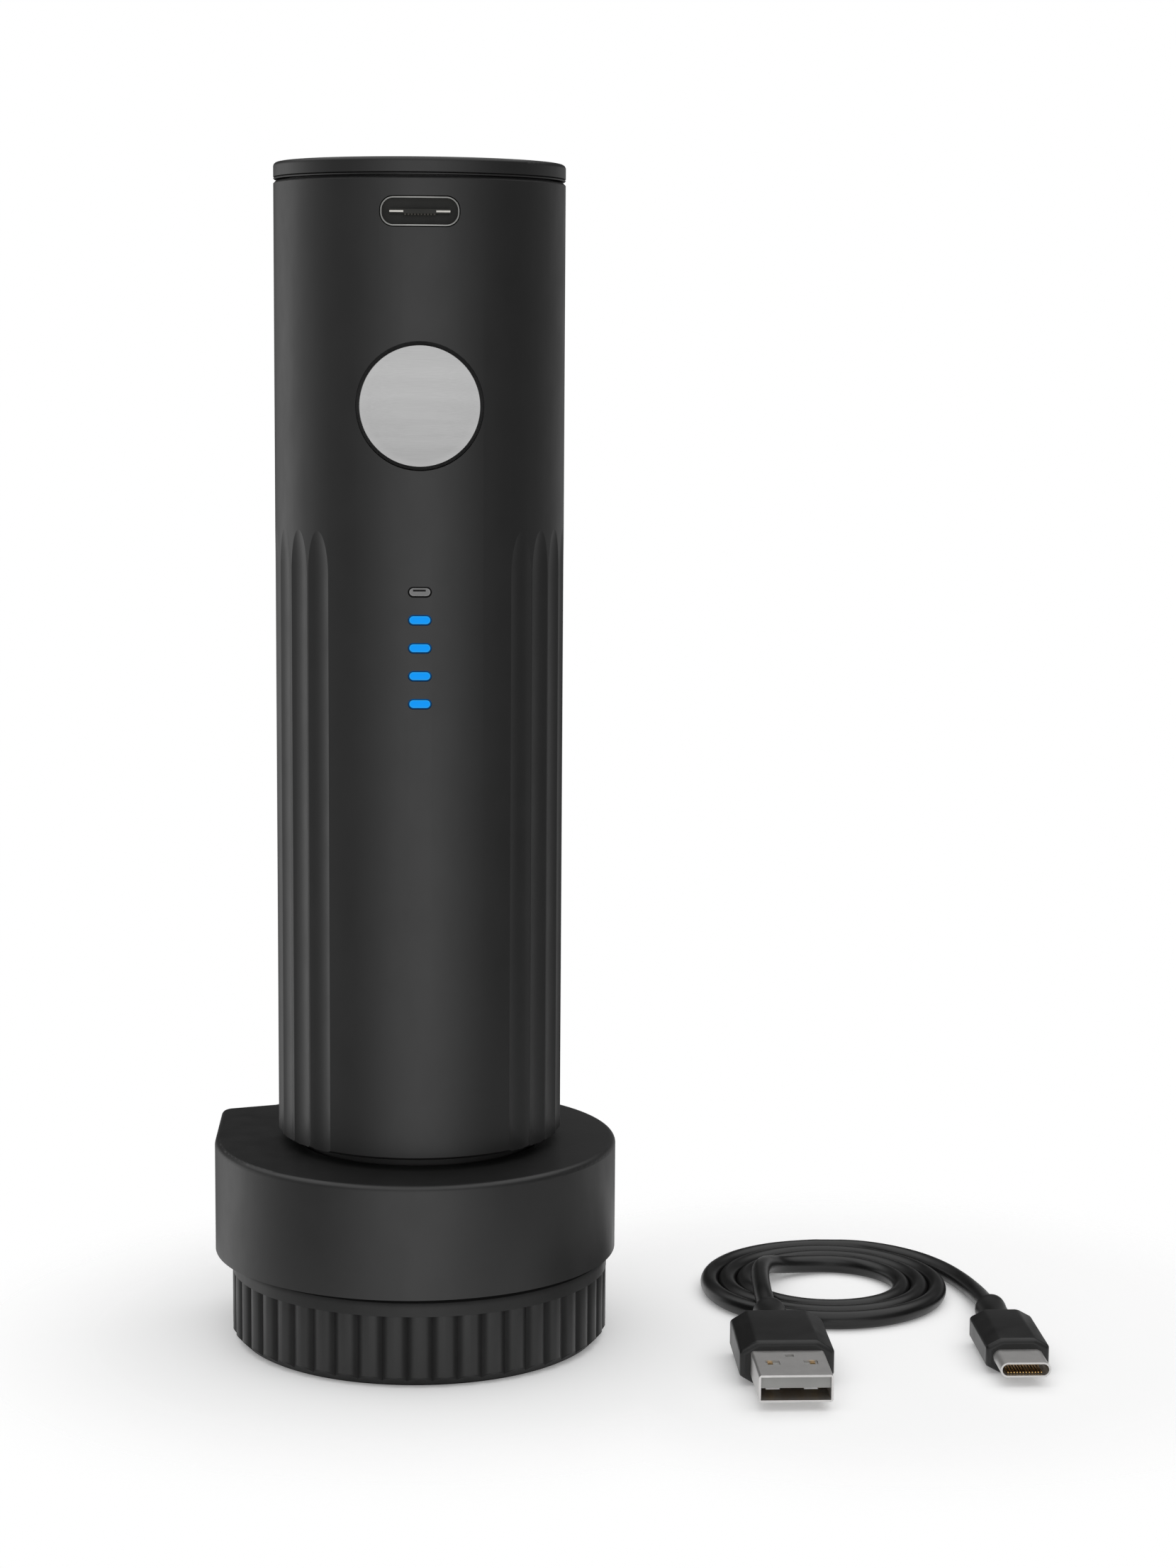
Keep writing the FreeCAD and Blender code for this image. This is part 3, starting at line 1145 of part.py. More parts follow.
def port_rim():
    """Bright metal mouth of the charging port, flush with the handle's curve."""
    corner = PORT_HEIGHT * 0.45
    outer = soft_slot(PORT_WIDTH, PORT_HEIGHT, corner, HANDLE_RADIUS, PORT_FLOOR - 1, 0, PORT_Z)
    inner = soft_slot(PORT_WIDTH - 2 * PORT_RIM, PORT_HEIGHT - 2 * PORT_RIM, corner - PORT_RIM,
                      HANDLE_RADIUS + 1, PORT_FLOOR - 2, 0, PORT_Z)
    return outer.cut(inner).common(shell_skin(0.05))


def port_insert():
    """Moulded inside of the port with its tongue, on a stalk that stands on the board."""
    corner = PORT_HEIGHT * 0.45
    gap = PORT_RIM + PRESS_GAP
    width, height = PORT_WIDTH - 2 * gap, PORT_HEIGHT - 2 * gap
    back = PORT_FLOOR - PORT_FLOOR_THICKNESS
    floor = soft_slot(width, height, corner - gap, PORT_FLOOR, back, 0, PORT_Z)
    middle = -(TONGUE_FRONT + PORT_FLOOR) / 2
    tongue = block(TONGUE_WIDTH, TONGUE_FRONT - PORT_FLOOR, TONGUE_HEIGHT, 0, middle, PORT_Z)
    reach = back - BOARD_FRONT
    stalk = block(PORT_STALK_WIDTH, reach, PORT_STALK_HEIGHT, 0, -BOARD_FRONT - reach / 2, PORT_Z)
    return floor.fuse([tongue, stalk]).removeSplitter()


def port_contacts():
    """Plated ends and pins on the tongue."""
    skin = CONTACT_SKIN
    depth = TONGUE_FRONT - PORT_FLOOR
    pieces = []
    for side in (-1, 1):
        x = side * (TONGUE_WIDTH - CONTACT_END_WIDTH) / 2
        end = block(CONTACT_END_WIDTH, skin, CONTACT_END_HEIGHT, x, -TONGUE_FRONT - skin / 2, PORT_Z)
        pieces.append(end)
    span = TONGUE_WIDTH - 2 * CONTACT_END_WIDTH - 2 * CONTACT_PIN_WIDTH
    for i in range(CONTACT_PINS):
        x = span * (i / (CONTACT_PINS - 1) - 0.5)
        z = PORT_Z - (TONGUE_HEIGHT + CONTACT_PIN_HEIGHT) / 2
        y = -PORT_FLOOR - depth * 0.6
        pieces.append(block(CONTACT_PIN_WIDTH, depth * 0.6, CONTACT_PIN_HEIGHT, x, y, z))
    return Part.makeCompound(pieces)


def lamp(z):
    """Translucent lens in one lamp window, with a dark line round its face."""
    step = HANDLE_RADIUS - LAMP_FACE
    width, height = LAMP_WIDTH - 2 * LAMP_LINE, LAMP_HEIGHT - 2 * LAMP_LINE
    face = front_slot(width, height, HANDLE_RADIUS, step, 0, z)
    body = front_slot(LAMP_WIDTH - 2 * SEAT_GAP, LAMP_HEIGHT - 2 * SEAT_GAP, step, LAMP_BACK, 0, z)
    return body.fuse(face.common(shell_skin(LAMP_SINK)))


def charge_lamp():
    """Lens of the top lamp."""
    return lamp(lamp_heights()[0])


def level_lamps():
    """Lenses of the four lower lamps."""
    return Part.makeCompound([lamp(z) for z in lamp_heights()[1:]])


def led_chips():
    """Light sources on the board behind the lamps."""
    y = -BOARD_FRONT - LED_DEPTH / 2
    return Part.makeCompound([block(LED_WIDTH, LED_DEPTH, LED_HEIGHT, 0, y, z) for z in lamp_heights()])


# ================================================================ charging lead
def rounded_path(points):
    """Wire of straight runs joined by tangent arcs, each as large as its two runs allow."""
    corners = [Vector(*p) for p in points]
    edges = []
    start = corners[0]
    for before, corner, after in zip(corners, corners[1:], corners[2:]):
        inward, outward = corner - before, after - corner
        turn = inward.getAngle(outward)
        reach = 0.45 * min(inward.Length, outward.Length)
        radius = reach / math.tan(turn / 2)
        print("  arc radius %.1f at a turn of %.0f degrees" % (radius, math.degrees(turn)))
        inward.normalize()
        outward.normalize()
        enter, leave = corner - inward * reach, corner + outward * reach
        towards = outward - inward
        towards.normalize()
        middle = corner + towards * (radius / math.cos(turn / 2) - radius)
        edges.append(Part.LineSegment(start, enter).toShape())
        edges.append(Part.Arc(enter, middle, leave).toShape())
        start = leave
    edges.append(Part.LineSegment(start, corners[-1]).toShape())
    return Part.Wire(edges)


def cord_tube(name, route):
    """Plain tube of the lead along a route given relative to the coil."""
    path = rounded_path([(x + COIL_X, y + COIL_Y, z) for x, y, z in route])
    first = path.Edges[0]
    section = Part.Wire([Part.makeCircle(CORD_DIAMETER / 2, first.valueAt(first.FirstParameter),
                                         first.tangentAt(first.FirstParameter))])
    body = path.makePipeShell([section], True, True)
    expected = math.pi * (CORD_DIAMETER / 2) ** 2 * path.Length
    print("  %s length %.1f" % (name, path.Length))
    print("  volume over section times length %.4f" % (body.Volume / expected))
    return body


def coil_radius(turns):
    """Centre-line radius after a number of turns from the coil's far side, clockwise from above."""
    return COIL_FIRST_RADIUS + COIL_PITCH * turns


def oval(centre, length, width, low, high):
    """Upright oval prism; its length lies along Y."""
    end, side = centre + Vector(0, length, 0), centre + Vector(width, 0, 0)
    face = Part.Face(Part.Wire([Part.Ellipse(end, side, centre).toShape()]))
    face.translate(Vector(0, 0, low))
    return face.extrude(Vector(0, 0, high - low))


def lead_coil():
    """Outer shape of the flat coil: an oval ring one lead thick."""
    half = CORD_DIAMETER / 2
    outer_far = coil_radius(COIL_TURNS) + half
    outer_near = coil_radius(COIL_TURNS - 0.5) + half
    outer_side = COIL_SQUASH * coil_radius(COIL_TURNS - 0.5) + half
    inner = coil_radius(0.25) - half
    middle = Vector(COIL_X, COIL_Y, 0)
    shifted = middle + Vector(0, (outer_far - outer_near) / 2, 0)
    outer = oval(shifted, (outer_far + outer_near) / 2, outer_side, 0, CORD_DIAMETER + 2 * CORD_REST)
    return outer.cut(oval(middle, inner, COIL_SQUASH * inner, 0, 2 * CORD_DIAMETER))


def plug_section(width, thickness, flat, x, y, z):
    """Six-sided outline of a plug's overmould, flat on top and falling away at its sides."""
    half, tall = width / 2, thickness / 2
    side = tall * 0.55
    points = [(-half, -side), (-flat / 2, -tall), (flat / 2, -tall), (half, -side),
              (half, side), (flat / 2, tall), (-flat / 2, tall), (-half, side)]
    corners = [Vector(x + px, y, z + pz) for px, pz in points]
    return Part.Face(Part.makePolygon(corners + corners[:1]))


def overmould(section, length):
    """Plug body from its cable end towards -Y, with softened ends."""
    body = section.extrude(Vector(0, -length, 0))
    ends = [e for e in body.Edges if abs(e.tangentAt(e.FirstParameter).y) < 0.1]
    return body.makeFillet(PLUG_EDGE, ends)


def strain_relief(radius, length, x, y, z):
    """Short sleeve on the lead behind a plug, from y towards -Y."""
    return Part.makeCylinder(radius, length, Vector(x, y - length, z), Vector(0, 1, 0))


def plug_a_back():
    """Y of the A plug's cable end."""
    return RELIEF_A_END - RELIEF_A_LENGTH


def plug_c_back():
    """Y of the C plug's cable end."""
    return RELIEF_C_END - RELIEF_C_LENGTH


def plug_a_body():
    """Overmould of the A plug."""
    section = plug_section(PLUG_A_WIDTH, PLUG_A_THICKNESS, PLUG_A_FLAT, PLUG_A_X, plug_a_back(), PLUG_A_Z)
    return overmould(section, PLUG_A_LENGTH)


def plug_a_shell():
    """Metal shell of the A plug with its two windows and the oval dimple hole."""
    face = plug_a_back() - PLUG_A_LENGTH
    y = face - SHELL_A_LENGTH / 2
    body = block(SHELL_A_WIDTH, SHELL_A_LENGTH, SHELL_A_HEIGHT, PLUG_A_X, y, PLUG_A_Z)
    body = body.makeFillet(0.5, [e for e in body.Edges if abs(e.tangentAt(e.FirstParameter).y) > 0.99])
    wall = 2 * SHELL_A_WALL
    cuts = [block(SHELL_A_WIDTH - wall, SHELL_A_LENGTH, SHELL_A_HEIGHT - wall, PLUG_A_X, y, PLUG_A_Z)]
    for side in (-1, 1):
        cuts.append(block(WINDOW_A_WIDTH, WINDOW_A_LENGTH, 2 * SHELL_A_HEIGHT,
                          PLUG_A_X + side * WINDOW_A_X, face - WINDOW_A_Y, PLUG_A_Z))
    oval = Part.makeCylinder(OVAL_A_LENGTH / 2, SHELL_A_HEIGHT, Vector(PLUG_A_X, face - OVAL_A_Y, PLUG_A_Z))
    cuts.append(oval.fuse(block(OVAL_A_WIDTH - OVAL_A_LENGTH, OVAL_A_LENGTH, SHELL_A_HEIGHT,
                                PLUG_A_X, face - OVAL_A_Y, PLUG_A_Z + SHELL_A_HEIGHT / 2)))
    return body.cut(cuts)


def plug_a_tongue():
    """Insulator inside the A plug, in the far half of its shell."""
    face = plug_a_back() - PLUG_A_LENGTH
    wall = 2 * (SHELL_A_WALL + PRESS_GAP)
    y = face - SHELL_A_LENGTH / 2 + 0.25
    z = PLUG_A_Z + SHELL_A_HEIGHT / 2 - SHELL_A_WALL - PRESS_GAP - TONGUE_A_HEIGHT / 2
    return block(SHELL_A_WIDTH - wall, SHELL_A_LENGTH - 0.5, TONGUE_A_HEIGHT, PLUG_A_X, y, z)


def plug_c_body():
    """Overmould of the C plug."""
    section = plug_section(PLUG_C_WIDTH, PLUG_C_THICKNESS, PLUG_C_FLAT, PLUG_C_X, plug_c_back(), PLUG_C_Z)
    return overmould(section, PLUG_C_LENGTH)


def plug_c_shell():
    """Metal shell of the C plug, hollow, with round sides."""
    face = -(plug_c_back() - PLUG_C_LENGTH)
    wall = 2 * SHELL_C_WALL
    tip = face + SHELL_C_LENGTH
    body = front_slot(SHELL_C_WIDTH, SHELL_C_HEIGHT, tip, face, PLUG_C_X, PLUG_C_Z)
    width, height = SHELL_C_WIDTH - wall, SHELL_C_HEIGHT - wall
    inner = front_slot(width, height, tip, face + SHELL_C_FLOOR, PLUG_C_X, PLUG_C_Z)
    return body.cut(inner)


# ================================================================ build
def build():
    """Make every sub-part and write it."""
    os.makedirs("parts", exist_ok=True)
    for make in (foot_pad, cutter_ring, base_collar, seat_pad, retaining_plate, plate_screws,
                 wheel_carrier, wheel_pins):
        export(make.__name__, make())
    for number, angle in enumerate(wheel_places(), 1):
        export("cutting_wheel_%d" % number, cutting_wheel(angle))
    for make in (handle_shell, top_lid, neck_sleeve, nose_seal, gear_case, output_bush, output_shaft,
                 planet_pins, sun_gear, motor_shaft, gear_cover, drive_screws, motor_screws,
                 motor_can, motor_terminals, worm, worm_holder, holder_pin, thrust_washer, chassis,
                 battery_cell, battery_contacts, circuit_board, board_screws, switch_housing,
                 button_body, button_cap, switch_plunger, port_rim, port_insert, port_contacts,
                 charge_lamp, level_lamps, led_chips):
        export(make.__name__, make())
    for number, place in enumerate(planet_places(), 1):
        export("planet_gear_%d" % number, planet_gear(place))
    coil = lead_coil()
    export("lead_coil", coil)
    relief_a = strain_relief(RELIEF_RADIUS_A, RELIEF_A_LENGTH, PLUG_A_X, RELIEF_A_END, PLUG_A_Z)
    relief_c = strain_relief(RELIEF_RADIUS_C, RELIEF_C_LENGTH, PLUG_C_X, RELIEF_C_END, PLUG_C_Z)
    export("plug_a_relief", relief_a)
    export("plug_c_relief", relief_c)
    export("lead_to_plug_a", cord_tube("lead_to_plug_a", ROUTE_IN).cut([coil, relief_a]))
    export("lead_to_plug_c", cord_tube("lead_to_plug_c", ROUTE_OUT).cut([coil, relief_c]))
    for make in (plug_a_body, plug_a_shell, plug_a_tongue, plug_c_body, plug_c_shell):
        export(make.__name__, make())


build()
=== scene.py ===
"""Electric wine opener in its foil-cutter stand, with its charging lead beside it.

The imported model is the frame.  This file gives every piece its finish, builds the soft lead, the
plugs' moulded bodies, the button's cap, the lenses, the worm and small parts inside, and sets up the
floor, the light and the camera.  All lengths are metres, +Z is up and the button looks along -Y.
"""

from __future__ import annotations

import json
import logging
import math
from dataclasses import dataclass
from enum import Enum
from typing import Sequence

import bmesh
import bpy
from mathutils import Matrix, Vector

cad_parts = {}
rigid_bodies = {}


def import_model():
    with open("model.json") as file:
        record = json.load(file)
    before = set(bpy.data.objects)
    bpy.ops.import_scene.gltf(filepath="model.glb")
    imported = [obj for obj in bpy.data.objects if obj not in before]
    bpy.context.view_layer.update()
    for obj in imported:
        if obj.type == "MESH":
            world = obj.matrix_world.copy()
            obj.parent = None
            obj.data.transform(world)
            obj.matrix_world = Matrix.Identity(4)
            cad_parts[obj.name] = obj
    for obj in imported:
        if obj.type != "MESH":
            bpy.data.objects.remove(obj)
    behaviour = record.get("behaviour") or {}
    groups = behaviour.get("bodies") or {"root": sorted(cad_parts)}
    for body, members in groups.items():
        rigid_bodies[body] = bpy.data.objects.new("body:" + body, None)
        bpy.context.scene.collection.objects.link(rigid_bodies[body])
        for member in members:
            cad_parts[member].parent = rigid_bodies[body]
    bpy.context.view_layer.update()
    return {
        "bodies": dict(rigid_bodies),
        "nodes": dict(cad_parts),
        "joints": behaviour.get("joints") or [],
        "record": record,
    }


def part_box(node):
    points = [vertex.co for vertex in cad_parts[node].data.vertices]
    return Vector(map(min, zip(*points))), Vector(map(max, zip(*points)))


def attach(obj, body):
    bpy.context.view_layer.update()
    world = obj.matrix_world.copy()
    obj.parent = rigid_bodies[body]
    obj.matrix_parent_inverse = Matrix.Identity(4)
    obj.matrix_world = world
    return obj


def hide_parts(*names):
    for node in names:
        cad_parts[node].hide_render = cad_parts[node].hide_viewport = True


LOG = logging.getLogger("wine_opener")
MM = 0.001
CREASE = 32.0
Colour = Spot = tuple[float, float, float]
Stops = tuple[tuple[float, float], ...]
Looks = tuple[tuple[str, ...], ...]
Point = Sequence[float]
Socket = bpy.types.NodeSocket
Material = bpy.types.Material
Piece = bpy.types.Object


class Body(Enum):
    """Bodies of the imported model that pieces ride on."""

    BASE = "base"
    HANDLE = "handle"
    BUTTON = "button"
    SCREW = "screw"


class Grain(Enum):
    """Surface grains: size of the grain and depth of its relief."""

    SATIN = (0.22 * MM, 0.004 * MM)
    COARSE = (0.8 * MM, 0.030 * MM)


# -------- finishes
class NodeBench:
    """Puts nodes into a tree and links them."""

    def __init__(self, tree: bpy.types.NodeTree) -> None:
        """Work on a tree."""
        self.tree = tree

    def add(self, kind: str, inputs: dict[object, object] | None = None, **settings: object) -> bpy.types.Node:
        """Add a node.

        Args:
            kind: Node type without the "ShaderNode" in front, such as "TexNoise".
            inputs: Values, or outputs to link, by input name or index.
            settings: Attributes of the node.

        Returns:
            The new node.
        """
        node = self.tree.nodes.new("ShaderNode" + kind)
        for key, value in settings.items():
            setattr(node, key, value)
        for key, value in (inputs or {}).items():
            self.feed(node.inputs[key], value)
        return node

    def feed(self, socket: Socket, value: object) -> None:
        """Link an output to a socket, or set the socket's own value.

        Args:
            socket: Input socket.
            value: Output socket, number or colour.
        """
        if isinstance(value, Socket):
            self.tree.links.new(value, socket)
        elif isinstance(value, tuple) and len(value) == 3 and len(socket.default_value) == 4:
            socket.default_value = (*value, 1.0)
        else:
            socket.default_value = value

    def math(self, operation: str, *values: object) -> Socket:
        """Output of a calculation with numbers and outputs."""
        return self.add("Math", dict(enumerate(values)), operation=operation).outputs[0]

    def axes(self, vector: Socket) -> bpy.types.bpy_prop_collection:
        """Outputs X, Y and Z of a vector."""
        return self.add("SeparateXYZ", {0: vector}).outputs

    def step(self, value: Socket, start: float, end: float) -> Socket:
        """Soft step from 0, where the value is the start, to 1 at the end."""
        return self.add("MapRange", {"Value": value, "From Min": start, "From Max": end},
                        interpolation_type="SMOOTHSTEP").outputs["Result"]

    def tint(self, factor: Socket, first: Socket | Colour, second: Socket | Colour) -> Socket:
        """Blend of two colours, the first at 0 and the second at 1."""
        return self.add("Mix", {0: factor, 6: first, 7: second}, data_type="RGBA").outputs[2]

    def ramp(self, factor: Socket, stops: Stops) -> Socket:
        """Grey value that changes softly along a factor.

        Args:
            factor: Factor, 0 to 1.
            stops: (factor, grey value) pairs in order.

        Returns:
            Colour output.
        """
        node = self.add("ValToRGB", {"Fac": factor})
        node.color_ramp.interpolation = "B_SPLINE"
        elements = node.color_ramp.elements
        while len(elements) < len(stops):
            elements.new(1.0)
        for element, (position, shade) in zip(elements, stops):
            element.position = position
            element.color = (shade, shade, shade, 1.0)
        return node.outputs["Color"]


class Recipe(NodeBench):
    """Node tree of one material while it is being put together."""

    def __init__(self, name: str) -> None:
        """Start a material with a plain shader.

        Args:
            name: Name of the material.
        """
        self.material = bpy.data.materials.new(name)
        self.material.use_nodes = True
        super().__init__(self.material.node_tree)
        self.shader = self.tree.nodes["Principled BSDF"]

    def set(self, **values: object) -> None:
        """Set the shader's own sockets by name, with underscores for spaces."""
        for key, value in values.items():
            self.feed(self.shader.inputs[key.replace("_", " ")], value)

    def place(self, stretch: Spot = (1.0, 1.0, 1.0)) -> Socket:
        """Object position as a vector, stretched along its axes."""
        where = self.add("TexCoord").outputs["Object"]
        return self.add("Mapping", {"Vector": where, "Scale": stretch}).outputs["Vector"]

    def noise(self, size: float, detail: float, stretch: Spot = (1.0, 1.0, 1.0)) -> Socket:
        """Soft noise with features of a given size; a small stretch draws them out that way."""
        inputs = {"Vector": self.place(stretch), "Scale": 1.0 / size, "Detail": detail, "Roughness": 0.55}
        return self.add("TexNoise", inputs).outputs["Fac"]

    def spread(self, factor: Socket, low: float, high: float) -> Socket:
        """Spread the middle of a noise's range over a low and a high value."""
        span = {"Value": factor, "From Min": 0.3, "From Max": 0.7, "To Min": low, "To Max": high}
        return self.add("MapRange", span).outputs["Result"]

    def mottle(self, factor: Socket, colour: Colour, low: float, high: float = 1.0) -> Socket:
        """Colour that a noise makes darker and lighter, by the factors of its two ends."""
        return self.tint(self.spread(factor, 0.0, 1.0), lighter(colour, low), lighter(colour, high))

    def relief(self, height: Socket, depth: float, strength: float) -> None:
        """Give the shader a fine relief of a depth, of which the strength shows."""
        bump = self.add("Bump", {"Height": height, "Distance": depth, "Strength": strength})
        self.set(Normal=bump.outputs["Normal"])


def lighter(colour: Colour, factor: float) -> Colour:
    """Colour with its three parts multiplied by a factor."""
    return tuple(min(1.0, part * factor) for part in colour)


def grey(level: float) -> Colour:
    """Neutral colour of a level."""
    return level, level, level


@dataclass(frozen=True)
class Finish:
    """One finish of the object."""

    name: str
    colour: Colour

    def mix(self, recipe: Recipe) -> None:
        """Set the shader of a recipe; each kind of finish has its own way."""
        raise NotImplementedError


@dataclass(frozen=True)
class Moulding(Finish):
    """Moulded plastic or rubber with a fine grain and faint handling marks."""

    roughness: float
    spread: float = 0.04
    specular: float = 0.5
    grain: Grain | None = None
    sheen: float = 0.0

    def mix(self, recipe: Recipe) -> None:
        """Set a shader with clouded colour, smeared gloss and grain.

        Args:
            recipe: Its node tree.
        """
        base = recipe.mottle(recipe.noise(9 * MM, 3.0), self.colour, 0.93, 1.07)
        smear = recipe.noise(4 * MM, 2.0, (1.0, 1.0, 0.5))
        dull = recipe.spread(smear, self.roughness - self.spread, self.roughness + self.spread)
        # Hook for painted light and dulling; the ribbed ring paints shade and highlights here.
        base, dull = self.painted_light_and_dulling(recipe, base, dull)
        recipe.set(Base_Color=base, Roughness=dull, Specular_IOR_Level=self.specular, Sheen_Weight=self.sheen)
        if self.grain:
            size, depth = self.grain.value
            recipe.relief(recipe.noise(size, 1.0), depth, 0.5)

    def painted_light_and_dulling(self, recipe: Recipe, base: Socket, dull: Socket) -> tuple[Socket, Socket]:
        """Colour and roughness outputs after painted light and dulling; a plain moulding has none."""
        return base, dull


@dataclass(frozen=True)
class RibbedMoulding(Moulding):
    """Upright-ribbed moulding round Z: painted highlights on crests, painted shade in dull valleys and at both ends."""

    ribs: int = 48
    foot: float = 1.8 * MM
    top: float = 12.1 * MM
    head: float = 14.9 * MM
    # Colour factors of the painted shade in the valleys and at the ends, and of the painted highlight on the crests.
    valley_shade: float = 0.3
    crest_highlight: float = 1.8
    duller: float = 0.3

    def painted_light_and_dulling(self, recipe: Recipe, base: Socket, dull: Socket) -> tuple[Socket, Socket]:
        """Paint highlights on the crests; paint shade on the valleys and the ring's two edges, and dull them.

        Args:
            recipe: Its node tree.
            base: Colour output.
            dull: Roughness output.

        Returns:
            The colour and roughness outputs to use.
        """
        where = recipe.axes(recipe.place())
        height = where["Z"]
        turn = recipe.math("ARCTAN2", where["Y"], where["X"])
        wave = recipe.math("COSINE", recipe.math("MULTIPLY", turn, float(self.ribs)))
        band = recipe.step(height, self.top + 0.1 * MM, self.top - 0.2 * MM)
        # Painted highlight: the ribbed band is lightened, so that the crests look lit.
        crest_highlight = recipe.tint(band, base, lighter(self.colour, self.crest_highlight))
        # Painted shade under the collar at the top and on the bottom chamfer, then in the rib valleys.
        ends = recipe.math("ADD", recipe.step(height, self.foot + 0.2 * MM, self.foot - 0.2 * MM),
                           recipe.step(height, self.head - 1.5 * MM, self.head - 0.4 * MM))
        painted_shade = recipe.math("MAXIMUM", recipe.math("MULTIPLY", recipe.step(wave, 0.3, -0.95), band), ends)
        shaded = recipe.tint(painted_shade, crest_highlight, lighter(self.colour, self.valley_shade))
        return shaded, recipe.math("ADD", dull, recipe.math("MULTIPLY", painted_shade, self.duller))


@dataclass(frozen=True)
class BrushedMetal(Finish):
    """Metal with fine straight brush lines along X, and a slight unevenness."""

    roughness: float = 0.38
    line: float = 0.06 * MM
    depth: float = 0.0012 * MM
    anisotropy: float = 0.6

    def mix(self, recipe: Recipe) -> None:
        """Set a metal shader with drawn-out strokes.

        Args:
            recipe: Its node tree.
        """
        strokes = recipe.noise(self.line, 2.0, (0.008, 1.0, 1.0))
        bands = recipe.noise(1.6 * MM, 2.0, (0.04, 1.0, 1.0))
        recipe.set(Base_Color=recipe.mottle(strokes, self.colour, 0.95, 1.05), Metallic=1.0,
                   Anisotropic=self.anisotropy,
                   Roughness=recipe.spread(bands, self.roughness - 0.02, self.roughness + 0.02))
        recipe.relief(strokes, self.depth, 0.6)


@dataclass(frozen=True)
class PolishedMetal(Finish):
    """Turned, plated or polished metal with hairline scratches."""

    roughness: float = 0.3
    scratch: float = 0.05

    def mix(self, recipe: Recipe) -> None:
        """Set a metal shader with a haze and upright hairlines.

        Args:
            recipe: Its node tree.
        """
        haze = recipe.noise(2.2 * MM, 3.0)
        lines = recipe.noise(0.12 * MM, 3.0, (1.0, 1.0, 0.08))
        dull = recipe.spread(lines, self.roughness - self.scratch * 0.5, self.roughness + self.scratch)
        recipe.set(Base_Color=recipe.mottle(haze, self.colour, 0.95, 1.04), Metallic=1.0, Roughness=dull)
        recipe.relief(lines, 0.0012 * MM, 0.5)


@dataclass(frozen=True)
class LampGlass(Finish):
    """Translucent lens with the light of its lamp behind it; one without glow is off."""

    glow: Colour | None = None

    def mix(self, recipe: Recipe) -> None:
        """Set a satin shader that gives off the lamp's light.

        Args:
            recipe: Its node tree.
        """
        cloud = recipe.noise(1.1 * MM, 1.0)
        recipe.set(Base_Color=recipe.mottle(cloud, self.colour, 0.92), Roughness=0.4, Specular_IOR_Level=0.12,
                   Emission_Color=self.glow or grey(0.0), Emission_Strength=1.0 if self.glow else 0.0)
        recipe.relief(cloud, 0.01 * MM, 0.4)


@dataclass(frozen=True)
class BoardMask(Finish):
    """Solder mask over copper tracks that run across or along the board in turn."""

    track: Colour = (0.022, 0.16, 0.06)
    pitch: float = 1.1 * MM
    width: float = 0.28 * MM
    zone: float = 8.0 * MM

    def mix(self, recipe: Recipe) -> None:
        """Set a glossy shader with raised tracks.

        Args:
            recipe: Its node tree.
        """
        where = recipe.axes(recipe.place())
        waves = [recipe.math("PINGPONG", where[axis], self.pitch / 2) for axis in ("X", "Z")]
        along, across = (recipe.math("LESS_THAN", wave, self.width / 2) for wave in waves)
        zone = recipe.math("GREATER_THAN", recipe.noise(self.zone, 0.0, (1.0, 0.0, 1.0)), 0.5)
        tracks = recipe.math("ADD", across, recipe.math("MULTIPLY", zone, recipe.math("SUBTRACT", along, across)))
        recipe.set(Base_Color=recipe.tint(tracks, self.colour, self.track), Roughness=0.3, Coat_Weight=0.3,
                   Coat_Roughness=0.2)
        recipe.relief(tracks, 0.03 * MM, 0.7)


@dataclass(frozen=True)
class ShrinkWrap(Finish):
    """Heat-shrink film, tight round the cell."""

    def mix(self, recipe: Recipe) -> None:
        """Set a glossy shader with pulled folds.

        Args:
            recipe: Its node tree.
        """
        pull = recipe.noise(5 * MM, 3.0, (1.0, 1.0, 0.25))
        recipe.set(Base_Color=recipe.mottle(pull, self.colour, 0.8), Roughness=0.32, Coat_Weight=0.5,
                   Coat_Roughness=0.12)
        recipe.relief(pull, 0.05 * MM, 0.5)


@dataclass(frozen=True)
class PaleFloor(Finish):
    """Pale matt floor that runs out into its surroundings."""

    glow: float = 0.2
    whole: float = 0.012
    gone: float = 0.055
    stands: tuple[tuple[Spot, float], ...] = (((0.0, 0.0, 0.0), 0.035), ((0.078, 0.0, 0.0), 0.04))

    def mix(self, recipe: Recipe) -> None:
        """Set a matt shader that fades out away from the opener's foot and the lead.

        Args:
            recipe: Its node tree.
        """
        cloud = recipe.noise(120 * MM, 2.0)
        place = recipe.add("TexCoord").outputs["Object"]
        gaps = []
        for centre, radius in self.stands:
            gap = recipe.add("VectorMath", {0: place, 1: centre}, operation="DISTANCE").outputs["Value"]
            gaps.append(recipe.math("SUBTRACT", gap, radius))
        cover = recipe.step(recipe.math("MINIMUM", *gaps), self.gone, self.whole)
        recipe.set(Base_Color=recipe.mottle(cloud, self.colour, 0.985), Roughness=0.75, Specular_IOR_Level=0.2,
                   Alpha=cover, Emission_Color=grey(1.0), Emission_Strength=self.glow)


